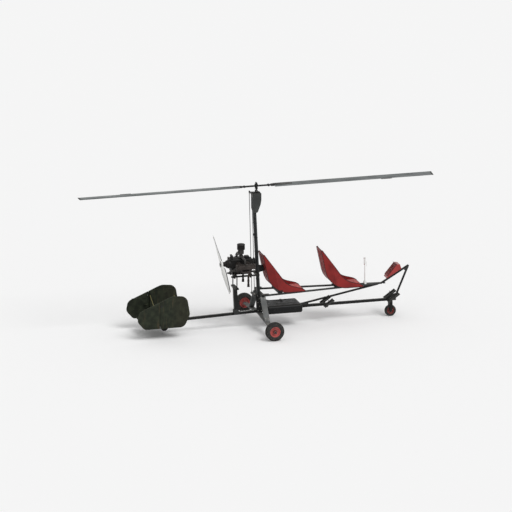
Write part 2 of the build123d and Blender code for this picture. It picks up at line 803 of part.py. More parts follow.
# Brackets: a cross piece on the rails under each seat, and a plate from the mast to the rear back
with BuildPart() as seat_brackets:
    for place, place_x in (("front", front_seat_x), ("rear", front_seat_x - seat_pitch)):
        foot_end_x = place_x + seat_foot_front_x
        foot_half_width = rail_y(foot_end_x) + rail_half
        add(block((foot_end_x - seat_foot_length, -foot_half_width, rail_top),
                  (foot_end_x, foot_half_width, rail_top + seat_foot_height)))
        add(seat_shells[place], mode=Mode.SUBTRACT)
    brace_back_x = mast_x(seat_brace_height)
    brace_tip_x = brace_back_x + seat_brace_length
    add(side_plate([(brace_back_x, seat_brace_height - seat_brace_rise),
                    (brace_tip_x, seat_brace_height - seat_brace_tip),
                    (brace_tip_x, seat_brace_height + seat_brace_tip),
                    (brace_back_x, seat_brace_height + seat_brace_rise)],
                   -seat_brace_width / 2, seat_brace_width / 2))
    add(mast.part, mode=Mode.SUBTRACT)
    add(seat_shells["rear"], mode=Mode.SUBTRACT)
    add(seat_inside(front_seat_x - seat_pitch, seat_wall, seat_back_half_width, seat_half_width),
        mode=Mode.SUBTRACT)
seat_brackets.part.label = "seat_brackets"
export_step(seat_brackets.part, "parts/seat_brackets.step")

# Engine post behind the mast, with a head bar and two uprights
post_foot_z = boom_top(post_x)
post_lean = tan(radians(mast_lean))
post_span = post_size / cos(radians(mast_lean))
upright_x = post_x - (post_top - post_foot_z) * post_lean
bed_bottom = bed_top - bed_size
with BuildPart() as engine_post:
    add(side_plate([(post_x - post_span / 2, boom_top(post_x - post_span / 2)),
                    (post_x + post_span / 2, boom_top(post_x + post_span / 2)),
                    (upright_x + post_span / 2, post_top), (upright_x - post_span / 2, post_top)],
                   -post_size / 2, post_size / 2))
    add(block((upright_x - post_span / 2, -bearer_y - bed_size / 2, post_top),
              (upright_x + post_span / 2, bearer_y + bed_size / 2, post_top + bed_size)))
    for sign in (1, -1):
        add(rod((upright_x, sign * bearer_y, post_top + bed_size),
                (upright_x, sign * bearer_y, bed_bottom), upright_radius))
engine_post.part.label = "engine_post"
export_step(engine_post.part, "parts/engine_post.step")

# Engine bed: two bearers with a cross tube on the uprights and one against the mast
bed_half_width = bearer_y + bed_size / 2
bed_front_x = mast_x(bed_top)
with BuildPart() as engine_bed:
    for sign in (1, -1):
        add(block((bed_rear_x, sign * bearer_y - bed_size / 2, bed_bottom),
                  (bed_front_x, sign * bearer_y + bed_size / 2, bed_top)))
    for bar_x in (upright_x, mast_x(bed_top) - mast_half - bed_size / 2):
        add(block((bar_x - bed_size / 2, -bed_half_width, bed_bottom),
                  (bar_x + bed_size / 2, bed_half_width, bed_top)))
    add(block((mast_x(bed_top) - mast_half - bed_size / 2, -mast_half, bed_bottom),
              (bed_front_x, mast_half, bed_top)))
    add(mast.part, mode=Mode.SUBTRACT)
engine_bed.part.label = "engine_bed"
export_step(engine_bed.part, "parts/engine_bed.step")

# Crankcase with its feet, sump, flywheel housing and filler knobs
with BuildPart() as engine_case:
    add(block((case_rear_x, -case_half_width, case_bottom), (case_front_x, case_half_width, case_top)))
    fillet(engine_case.part.edges().filter_by(Axis.X), radius=case_corner)
    add(block((case_rear_x + case_corner, -sump_half_width, bed_top),
              (case_front_x - case_corner, sump_half_width, case_bottom)))
    for foot_x in (case_rear_x + 2 * case_corner, case_front_x - 2 * case_corner):
        add(block((foot_x - foot_thickness, -bed_half_width, bed_top),
                  (foot_x + foot_thickness, bed_half_width, bed_top + foot_thickness)))
    add(rod((case_front_x, 0, crank_height), (flange_front_x, 0, crank_height), flange_radius))
    for sign in (1, -1):
        add(rod((case_rear_x + case_corner, sign * case_half_width / 2, case_top - case_corner),
                (case_rear_x + case_corner, sign * case_half_width / 2, knob_top), knob_radius))
engine_case.part.label = "engine_case"
export_step(engine_case.part, "parts/engine_case.step")

# Cylinder banks: finned barrels, a slotted head across both, and one rocker cover
head_low = crank_height - head_height / 2
head_high = crank_height + head_height / 2
slot_pitch = (head_front_x - head_rear_x) / (head_slot_count + 1)
with BuildPart() as cylinders:
    for barrel_x in barrel_xs:
        add(rod((barrel_x, case_half_width, crank_height), (barrel_x, head_inner_y, crank_height),
                barrel_radius))
        for count in range(cooling_fin_count):
            fin_y_low = case_half_width + cooling_fin_start + cooling_fin_pitch * count
            add(rod((barrel_x, fin_y_low, crank_height),
                    (barrel_x, fin_y_low + cooling_fin_thickness, crank_height), cooling_fin_radius))
    add(block((head_rear_x, head_inner_y, head_low), (head_front_x, head_outer_y, head_high)))
    for count in range(head_slot_count):
        slot_x = head_rear_x + slot_pitch * (count + 1)
        add(block((slot_x - head_slot_depth / 2, head_inner_y, head_high - head_slot_depth),
                  (slot_x + head_slot_depth / 2, head_outer_y, head_high)), mode=Mode.SUBTRACT)
    add(block((barrel_xs[1] - rocker_reach, head_outer_y, head_low + head_slot_depth),
              (barrel_xs[0] + rocker_reach, rocker_outer_y, head_high - head_slot_depth)))
    cover_edges = cylinders.part.faces().sort_by(Axis.Y)[-1].edges()
    fillet(cover_edges, radius=head_slot_depth)
    mirror(about=Plane.XZ)
cylinders.part.label = "cylinders"
export_step(cylinders.part, "parts/cylinders.step")

# Gearbox, bored for the propeller's shaft
crank_line = (0, 0, crank_height)
with BuildPart() as gearbox:
    add(turned(crank_line, (1, 0, 0),
               [(case_rear_x, 0), (case_rear_x, gearbox_radius),
                (case_rear_x - gearbox_nose_radius, gearbox_radius),
                (case_rear_x - 2 * gearbox_nose_radius, gearbox_shoulder_radius),
                (gearbox_rear_x + gearbox_nose_radius, gearbox_neck_radius),
                (gearbox_rear_x, gearbox_nose_radius), (gearbox_rear_x, 0)]))
    add(rod((gearbox_rear_x, 0, crank_height),
            (gearbox_rear_x + prop_shaft_depth + move_gap, 0, crank_height),
            prop_shaft_radius + pin_gap), mode=Mode.SUBTRACT)
gearbox.part.label = "gearbox"
export_step(gearbox.part, "parts/gearbox.step")

# Intake: a manifold on the case, a tube out and down to each bank, and the carburettor
manifold_low = manifold_height - manifold_size / 2
with BuildPart() as intake:
    add(block((carburettor_x - manifold_size / 2, -manifold_size / 2, manifold_low),
              (carburettor_x + manifold_size / 2, manifold_size / 2, manifold_low + manifold_size)))
    for sign in (1, -1):
        add(bent_tube([(carburettor_x, sign * manifold_size / 2, manifold_height),
                       (carburettor_x, sign * intake_y, manifold_height),
                       (carburettor_x, sign * intake_y, head_high - head_slot_depth)],
                      intake_bend, intake_radius))
    add(rod((carburettor_x, 0, manifold_low + manifold_size), (carburettor_x, 0, filter_bottom),
            carburettor_radius))
    bowl_low = manifold_low + manifold_size + bowl_lift
    add(rod((carburettor_x, 0, bowl_low), (carburettor_x, 0, bowl_low + bowl_height), bowl_radius))
    add(cylinders.part, mode=Mode.SUBTRACT)
    add(engine_case.part, mode=Mode.SUBTRACT)
intake.part.label = "intake"
export_step(intake.part, "parts/intake.step")

with BuildPart() as air_filter:
    add(rod((carburettor_x, 0, filter_bottom), (carburettor_x, 0, filter_top), filter_radius))
    fillet(air_filter.part.edges(), radius=carburettor_radius / 2)
air_filter.part.label = "air_filter"
export_step(air_filter.part, "parts/air_filter.step")

# Exhausts: each bank's two ports join and turn in and down beside the engine bed
port_drop = head_low - exhaust_drop
front_port_x = barrel_xs[0]
elbow_z = port_drop - 2 * exhaust_drop
with BuildPart() as exhausts:
    for sign in (1, -1):
        port_y = sign * intake_y
        add(bent_tube([(front_port_x, port_y, head_low), (front_port_x, port_y, port_drop),
                       (front_port_x, sign * exhaust_y, elbow_z),
                       (front_port_x, sign * exhaust_y, exhaust_bottom)],
                      exhaust_bend, exhaust_radius))
        add(bent_tube([(barrel_xs[1], port_y, head_low), (barrel_xs[1], port_y, port_drop),
                       (front_port_x, port_y, port_drop)], exhaust_bend, exhaust_radius))
exhausts.part.label = "exhausts"
export_step(exhausts.part, "parts/exhausts.step")

# Propeller, two twisted blades on a boss, with the shaft that turns in the gearbox
blade_way = Vector(0, sin(radians(prop_pose)), cos(radians(prop_pose)))
prop_centre = Vector(prop_x, 0, crank_height)


def blade_section(way, share, chord, thickness, pitch):
    """One lens-shaped section across a propeller blade, at a share of the tip's radius."""
    across = way.cross(Vector(1, 0, 0))
    turned_chord = across * cos(radians(pitch)) + Vector(1, 0, 0) * sin(radians(pitch))
    with BuildSketch(Plane(origin=prop_centre + way * (prop_radius * share),
                           x_dir=turned_chord, z_dir=way)) as section:
        with BuildLine():
            ThreePointArc((-chord / 2, 0), (0, thickness * blade_crown_share), (chord / 2, 0))
            ThreePointArc((chord / 2, 0), (0, thickness * (blade_crown_share - 1)), (-chord / 2, 0))
        make_face()
    return section.sketch.faces()[0]


with BuildPart() as propeller:
    add(rod((prop_x - prop_boss_length / 2, 0, crank_height),
            (prop_x + prop_boss_length / 2, 0, crank_height), prop_boss_radius))
    for way in (blade_way, blade_way * -1):
        loft([blade_section(way, *row) for row in prop_sections], ruled=True)
    add(rod((prop_x, 0, crank_height), (gearbox_rear_x + prop_shaft_depth, 0, crank_height),
            prop_shaft_radius))
    add(rod((prop_x - prop_boss_length / 2 - prop_cap_depth, 0, crank_height),
            (prop_x - prop_boss_length / 2, 0, crank_height), prop_cap_radius))
propeller.part.label = "propeller"
export_step(propeller.part, "parts/propeller.step")

# Fuel tank, sitting on the keel with a channel for it
with BuildPart() as fuel_tank:
    add(block((tank_start_x, -tank_half_width, tank_bottom),
              (tank_end_x, tank_half_width, tank_top)))
    fillet(fuel_tank.part.edges(), radius=tank_corner)
    add(side_plate(upright_ends((tank_start_x, boom_z(tank_start_x) - keel_depth / 2),
                                (tank_end_x, boom_z(tank_end_x) - keel_depth / 2), 2 * keel_depth),
                   -keel_side - soft_gap, keel_side + soft_gap), mode=Mode.SUBTRACT)
fuel_tank.part.label = "fuel_tank"
export_step(fuel_tank.part, "parts/fuel_tank.step")

# Head fairing, a box round the mast's head that narrows downward
with BuildPart() as head_fairing:
    add(side_plate([(x, mast_top - drop) for x, drop in fairing_corners],
                   -fairing_half_width, fairing_half_width))
    add(mast.part, mode=Mode.SUBTRACT)
head_fairing.part.label = "head_fairing"
export_step(head_fairing.part, "parts/head_fairing.step")

# Rotor head: a plate on the mast, a bearing block and the torque bar for the push rods
plate_top = mast_top + head_plate_thickness
torque_end_y = push_rod_y + 2 * push_rod_radius
with BuildPart() as rotor_head:
    add(block((torque_bar_x, -head_plate_half_width, mast_top),
              (head_plate_front_x, head_plate_half_width, plate_top)))
    add(block((torque_bar_x - torque_bar_size / 2, -torque_end_y, mast_top),
              (torque_bar_x + torque_bar_size / 2, torque_end_y, mast_top + torque_bar_size)))
    add(block((-bearing_half_length, -bearing_half_length, plate_top),
              (bearing_half_length, bearing_half_length, bearing_top)))
    add(rod((0, 0, tower_base - shaft_depth - 2 * move_gap), (0, 0, tower_base),
            shaft_radius + pin_gap), mode=Mode.SUBTRACT)
rotor_head.part.label = "rotor_head"
export_step(rotor_head.part, "parts/rotor_head.step")

# Push rods behind the mast, from the torque bar down to a crank bar on the mast
rod_rise = mast_top - crank_bar_height
rod_foot_x = torque_bar_x + rod_rise * tan(radians(push_rod_lean))
crank_bar_front_x = mast_x(crank_bar_height)
with BuildPart() as push_rods:
    for sign in (1, -1):
        add(rod((rod_foot_x, sign * push_rod_y, crank_bar_height),
                (torque_bar_x, sign * push_rod_y, mast_top), push_rod_radius))
    add(block((rod_foot_x - crank_bar_size, -torque_end_y, crank_bar_height - crank_bar_size),
              (rod_foot_x + crank_bar_size, torque_end_y, crank_bar_height)))
    add(block((rod_foot_x, -crank_bar_size, crank_bar_height - crank_bar_size),
              (crank_bar_front_x, crank_bar_size, crank_bar_height)))
    add(mast.part, mode=Mode.SUBTRACT)
    add(rotor_head.part, mode=Mode.SUBTRACT)
push_rods.part.label = "push_rods"
export_step(push_rods.part, "parts/push_rods.step")

# Teeter tower on the rotor's shaft, with the bolt that the hub bar rocks on
teeter_z = rotor_height + undersling
ear_inner_y = hub_bar_width / 2 + hub_bar_gap
ear_outer_y = ear_inner_y + ear_thickness
with BuildPart() as teeter_tower:
    add(side_plate(level_ends((0, tower_base), (0, tower_base + tower_floor), tower_foot_length),
                   -ear_outer_y, ear_outer_y))
    add(side_plate([(-tower_foot_length / 2, tower_base + tower_floor),
                    (tower_foot_length / 2, tower_base + tower_floor),
                    (tower_head_length / 2, tower_top), (-tower_head_length / 2, tower_top)],
                   ear_inner_y, ear_outer_y))
    add(side_plate([(-tower_foot_length / 2, tower_base + tower_floor),
                    (tower_foot_length / 2, tower_base + tower_floor),
                    (tower_head_length / 2, tower_top), (-tower_head_length / 2, tower_top)],
                   -ear_outer_y, -ear_inner_y))
    add(rod((0, 0, tower_base - shaft_depth), (0, 0, tower_base), shaft_radius))
    add(rod((0, -ear_outer_y - teeter_bolt_radius, teeter_z),
            (0, ear_outer_y + teeter_bolt_radius, teeter_z), teeter_bolt_radius))
teeter_tower.part.label = "teeter_tower"
export_step(teeter_tower.part, "parts/teeter_tower.step")

# Rotor blades: one section along the whole blade, pitched, the fore one and its turned twin
nose_radius = rotor_thickness / 2
leading_y = rotor_chord * rotor_axis_share
trailing_y = leading_y - rotor_chord
pitched_chord = (0, cos(radians(rotor_pitch)), sin(radians(rotor_pitch)))
with BuildPart() as rotor_blades:
    with BuildSketch(Plane(origin=(blade_root, 0, rotor_height), x_dir=pitched_chord, z_dir=(1, 0, 0))):
        with BuildLine():
            Line((trailing_y, 0), (leading_y - 2 * nose_radius, nose_radius))
            ThreePointArc((leading_y - 2 * nose_radius, nose_radius), (leading_y, 0),
                          (leading_y - 2 * nose_radius, -nose_radius))
            Line((leading_y - 2 * nose_radius, -nose_radius), (trailing_y, 0))
        make_face()
    extrude(amount=rotor_radius - blade_root)
    add(rotor_blades.part.rotate(Axis.Z, 180))
rotor_blades.part.label = "rotor_blades"
export_step(rotor_blades.part, "parts/rotor_blades.step")

# Hub bar with a tapered block for the teeter bolt, and a grip that holds each blade's root
bar_low = rotor_height - hub_bar_thickness / 2
bar_end = blade_root - hub_bar_gap
grip_half_height = rotor_thickness / 2 + grip_wall
with BuildPart() as hub_bar:
    with BuildSketch(Plane(origin=(grip_start, 0, rotor_height), x_dir=pitched_chord, z_dir=(1, 0, 0))):
        Rectangle(grip_width, 2 * grip_half_height)
    extrude(amount=grip_end - grip_start)
    add(hub_bar.part.rotate(Axis.Z, 180))
    add(rotor_blades.part, mode=Mode.SUBTRACT)
    add(block((-bar_end, -hub_bar_width / 2, bar_low),
              (bar_end, hub_bar_width / 2, bar_low + hub_bar_thickness)))
    add(side_plate([(-hub_cheek_half_foot, rotor_height), (hub_cheek_half_foot, rotor_height),
                    (hub_cheek_half_top, teeter_z + hub_cheek_rise),
                    (-hub_cheek_half_top, teeter_z + hub_cheek_rise)],
                   -hub_bar_width / 2, hub_bar_width / 2))
    add(rod((0, -hub_bar_width, teeter_z), (0, hub_bar_width, teeter_z),
            teeter_bolt_radius + pin_gap), mode=Mode.SUBTRACT)
hub_bar.part.label = "hub_bar"
export_step(hub_bar.part, "parts/hub_bar.step")

# Fins and rudders, cut from one rounded outline at the rudder's hinge
tail_half = tail_thickness / 2
fin_inner_y = fin_y - tail_half
fin_rear_x = hinge_x + tail_half + move_gap
with BuildPart() as tail_outline:
    with BuildSketch(Plane.XZ.offset(-fin_y - tail_half)):
        with BuildLine():
            FilletPolyline(*[(x, z) for x, z, corner in fin_corners],
                           radius=[corner for x, z, corner in fin_corners], close=True)
        make_face()
    extrude(amount=tail_thickness)
outline_box = tail_outline.part.bounding_box()
hinge_band = block((hinge_x - hinge_pin_radius, fin_inner_y, 0),
                   (hinge_x + hinge_pin_radius, fin_y + tail_half, mast_top))
hinge_top = (tail_outline.part & hinge_band).bounding_box().max.Z - tail_half
lug_half = hinge_lug_height / 2
pin_reach = lug_half + 4 * hinge_pin_radius

with BuildPart() as fins:
    add(tail_outline.part)
    add(block((outline_box.min.X, 0, 0), (fin_rear_x, 2 * fin_y, mast_top)), mode=Mode.SUBTRACT)
    for lug_z in hinge_heights:
        add(block((hinge_x - hinge_lug_width / 2, fin_y - hinge_lug_width / 2, lug_z - lug_half),
                  (fin_rear_x, fin_y + hinge_lug_width / 2, lug_z + lug_half)))
        add(rod((hinge_x, fin_y, lug_z - pin_reach), (hinge_x, fin_y, lug_z + pin_reach),
                hinge_pin_radius))
    mirror(about=Plane.XZ)
fins.part.label = "fins"
export_step(fins.part, "parts/fins.step")

for side, sign in (("left", 1), ("right", -1)):
    with BuildPart() as rudder:
        add(tail_outline.part)
        add(block((hinge_x, 0, 0), (outline_box.max.X, 2 * fin_y, mast_top)), mode=Mode.SUBTRACT)
        add(rod((hinge_x, fin_y, outline_box.min.Z), (hinge_x, fin_y, hinge_top), tail_half))
        for lug_z in hinge_heights:
            notch_half = lug_half + hinge_notch_gap
            add(block((hinge_x - hinge_lug_width, fin_inner_y, lug_z - notch_half),
                      (hinge_x + tail_thickness, fin_y + tail_half, lug_z + notch_half)),
                mode=Mode.SUBTRACT)
            add(rod((hinge_x, fin_y, lug_z - pin_reach - hinge_notch_gap),
                    (hinge_x, fin_y, lug_z + pin_reach + hinge_notch_gap),
                    hinge_pin_radius + pin_gap), mode=Mode.SUBTRACT)
    rudder_part = rudder.part if sign > 0 else rudder.part.mirror(Plane.XZ)
    rudder_part.label = f"rudder_{side}"
    export_step(rudder_part, f"parts/rudder_{side}.step")

# Tailplane on the boom between the fins, cut back at the corners for the rudders' swing
swing = radians(rudder_swing)
swing_room = (tail_half + move_gap + hinge_notch_gap) / cos(swing)
tip_x = [tailplane_start_x, fin_rear_x, hinge_x, tailplane_end_x]
tip_y = [fin_inner_y, fin_inner_y, fin_y - swing_room,
         fin_y - swing_room - (hinge_x - tailplane_end_x) * tan(swing)]
plane_lift = (keel_depth + tailplane_thickness) / 2
with BuildPart() as tailplane:
    add(plan_plate(list(zip(tip_x, tip_y)) + [(x, -y) for x, y in reversed(list(zip(tip_x, tip_y)))],
                   0, mast_top))
    boom_start = (tailplane_end_x, boom_z(tailplane_end_x) + plane_lift)
    boom_end = (tailplane_start_x, boom_z(tailplane_start_x) + plane_lift)
    add(side_plate(upright_ends(boom_start, boom_end, tailplane_thickness), -fin_y, fin_y),
        mode=Mode.INTERSECT)
tailplane.part.label = "tailplane"
export_step(tailplane.part, "parts/tailplane.step")

# Stays from the boom and the tailplane out to the fins
with BuildPart() as tail_stays:
    for boom_x, fin_x, stay_z in stays:
        add(rod((boom_x, 0, boom_z(boom_x)), (fin_x, fin_y, stay_z), stay_radius))
    mirror(about=Plane.XZ)
    for solid in (fins.part, tailplane.part, keel_rear.part):
        add(solid, mode=Mode.SUBTRACT)
    add(side_plate([(tailplane_end_x, 0), (tailplane_start_x, 0), boom_end, boom_start],
                   -fin_y, fin_y), mode=Mode.SUBTRACT)
tail_stays.part.label = "tail_stays"
export_step(tail_stays.part, "parts/tail_stays.step")

# Foot plates: a bar out of each side of the keel with a tilted, flanged plate, rear and front
foot_inner_y = foot_y - foot_width / 2
foot_outer_y = foot_y + foot_width / 2


def tilted_strip(bar_x, plate_length, depth, y_low, y_high):
    """A strip of a foot plate, depth deep, up its tilt from a little below its bar."""
    tilt = radians(foot_tilt)
    foot = (bar_x - foot_drop * cos(tilt), front_keel_height - foot_drop * sin(tilt))
    head = (foot[0] + plate_length * cos(tilt), foot[1] + plate_length * sin(tilt))
    back_x, back_z = depth * sin(tilt), depth * cos(tilt)
    return side_plate([foot, head, (head[0] - back_x, head[1] + back_z),
                       (foot[0] - back_x, foot[1] + back_z)], y_low, y_high)


with BuildPart() as foot_plates:
    for bar_x, plate_length in foot_stations:
        bar_low_z = front_keel_height - foot_bar_size / 2
        add(block((bar_x - foot_bar_size / 2, keel_side, bar_low_z),
                  (bar_x + foot_bar_size / 2, foot_outer_y, bar_low_z + foot_bar_size)))
        add(tilted_strip(bar_x, plate_length, plate_thickness, foot_inner_y, foot_outer_y))
        for flange_y in (foot_inner_y, foot_outer_y - plate_thickness):
            add(tilted_strip(bar_x, plate_length, flange_depth, flange_y, flange_y + plate_thickness))
    mirror(about=Plane.XZ)
foot_plates.part.label = "foot_plates"
export_step(foot_plates.part, "parts/foot_plates.step")

# Control stick in front of the front seat, on a base across the rails
with BuildPart() as control_stick:
    stick_base_y = rail_y(stick_x) + rail_half
    add(block((stick_x - stick_base_length / 2, -stick_base_y, rail_top),
              (stick_x + stick_base_length / 2, stick_base_y, rail_top + stick_base_height)))
    add(rod((stick_x, 0, rail_top + stick_base_height), (stick_x, 0, stick_top), stick_radius))
    add(rod((stick_x, 0, stick_top - grip_length), (stick_x, 0, stick_top), grip_radius))
control_stick.part.label = "control_stick"
export_step(control_stick.part, "parts/control_stick.step")

# Instrument pod, a wedge on a mount over the upper nose tube, its face towards the front seat
pod_along = Vector(cos(upper_slope), 0, sin(upper_slope))
pod_up = Vector(-sin(upper_slope), 0, cos(upper_slope))
tube_z = rail_height + (pod_x - rail_tip_x) * tan(upper_slope)
pod_foot = Vector(pod_x, 0, tube_z) + pod_up * (rail_size / 2 + pod_lift)
mount_end = pod_mount_start + pod_mount_length


def pod_slice(outline, width):
    """A solid with an outline of (along the nose tube, up from it) points, centred in y."""
    plane = Plane(origin=pod_foot + Vector(0, width / 2, 0), x_dir=pod_along, z_dir=(0, -1, 0))
    return prism(plane, outline, width)


with BuildPart() as instrument_pod:
    add(pod_slice(pod_corners, pod_width))
    fillet(instrument_pod.part.edges().filter_by(Axis.Y, reverse=True), radius=pod_corner)
    add(pod_slice([(pod_mount_start, -pod_lift), (mount_end, -pod_lift), (mount_end, 0),
                   (pod_mount_start, 0)], pod_mount_width))
instrument_pod.part.label = "instrument_pod"
export_step(instrument_pod.part, "parts/instrument_pod.step")

face_run = pod_face_head[0] - pod_face_foot[0]
face_rise = pod_face_head[1] - pod_face_foot[1]
face_along = (pod_along * face_run + pod_up * face_rise).normalized()
face_length = Vector(face_run, face_rise).length
face_centre = (pod_foot + pod_along * (pod_face_foot[0] + face_run / 2)
               + pod_up * (pod_face_foot[1] + face_rise / 2))
with BuildPart() as instrument_face:
    with BuildSketch(Plane(origin=face_centre, x_dir=face_along, z_dir=face_along.cross(Vector(0, 1, 0)))):
        Rectangle(face_length - 2 * face_margin, pod_width - 2 * face_margin)
    extrude(amount=face_thickness)
instrument_face.part.label = "instrument_face"
export_step(instrument_face.part, "parts/instrument_face.step")
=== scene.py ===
"""Looks of a two-seat open-frame gyrocopter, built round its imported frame.

Every size is in metres, in the frame's own axes: +X forward, +Y to the left, +Z up.
"""

import json
import logging
import math
from dataclasses import dataclass
from enum import Enum
from functools import cached_property
from itertools import product
from typing import Any, Callable, ClassVar, Iterable, Sequence

import bmesh
import bpy
from mathutils import Matrix, Vector

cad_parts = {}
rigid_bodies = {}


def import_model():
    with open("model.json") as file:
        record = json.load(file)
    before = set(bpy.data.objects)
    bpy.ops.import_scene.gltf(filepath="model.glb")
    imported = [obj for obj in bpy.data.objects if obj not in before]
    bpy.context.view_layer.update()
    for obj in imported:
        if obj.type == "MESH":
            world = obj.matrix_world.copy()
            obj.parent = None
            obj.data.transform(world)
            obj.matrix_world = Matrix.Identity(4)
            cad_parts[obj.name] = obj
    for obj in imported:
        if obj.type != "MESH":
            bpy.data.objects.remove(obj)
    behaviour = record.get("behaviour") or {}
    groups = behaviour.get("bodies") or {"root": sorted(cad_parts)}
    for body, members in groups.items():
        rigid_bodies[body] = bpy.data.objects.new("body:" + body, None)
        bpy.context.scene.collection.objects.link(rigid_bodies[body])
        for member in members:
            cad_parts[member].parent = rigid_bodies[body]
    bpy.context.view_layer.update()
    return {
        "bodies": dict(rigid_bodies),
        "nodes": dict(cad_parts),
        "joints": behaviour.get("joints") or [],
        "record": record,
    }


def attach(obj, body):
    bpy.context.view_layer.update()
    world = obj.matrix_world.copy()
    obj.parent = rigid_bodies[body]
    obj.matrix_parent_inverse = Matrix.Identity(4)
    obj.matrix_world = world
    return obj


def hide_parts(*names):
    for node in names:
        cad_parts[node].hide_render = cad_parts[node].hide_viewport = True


log = logging.getLogger("gyrocopter")

Colour = tuple[int, int, int]
Point = tuple[float, float, float] | Vector
Profile = list[tuple[float, float]]
SEAT_PLACES = {"front": 1.620, "rear": 0.410}
X, Y, Z = (Vector(axis) for axis in ((1, 0, 0), (0, 1, 0), (0, 0, 1)))


class Side(Enum):
    """The two sides of the aircraft, with the sign of their Y."""

    LEFT = 1
    RIGHT = -1

    @property
    def word(self) -> str:
        """The side's name in lower case, as bodies and nodes use it."""
        return self.name.lower()


SIGNS = tuple(side.value for side in Side)


def tint(colour: Colour) -> tuple[float, ...]:
    """Turns a colour as seen on a screen, 0 to 255, into the linear one that a shader takes."""
    shares = (channel / 255 for channel in colour)
    return *(s / 12.92 if s <= 0.04045 else ((s + 0.055) / 1.055) ** 2.4 for s in shares), 1.0


def operator(operation: str, reflected: bool = False) -> Callable[["Wire", Any], "Wire"]:
    """Makes an operator of wires that adds one Math node."""
    def operate(wire: "Wire", other: Any) -> "Wire":
        """Adds the node between a wire and the value or wire beside it."""
        return wire.tree.math(operation, *((other, wire) if reflected else (wire, other)))
    return operate


class Wire:
    """The output of a shader node, which Python's operators turn into Math nodes."""

    def __init__(self, tree: "Tree", socket: bpy.types.NodeSocket) -> None:
        """Keeps the tree that the socket belongs to."""
        self.tree = tree
        self.socket = socket

    __add__, __radd__ = operator("ADD"), operator("ADD", True)
    __sub__, __rsub__ = operator("SUBTRACT"), operator("SUBTRACT", True)
    __mul__, __rmul__ = operator("MULTIPLY"), operator("MULTIPLY", True)


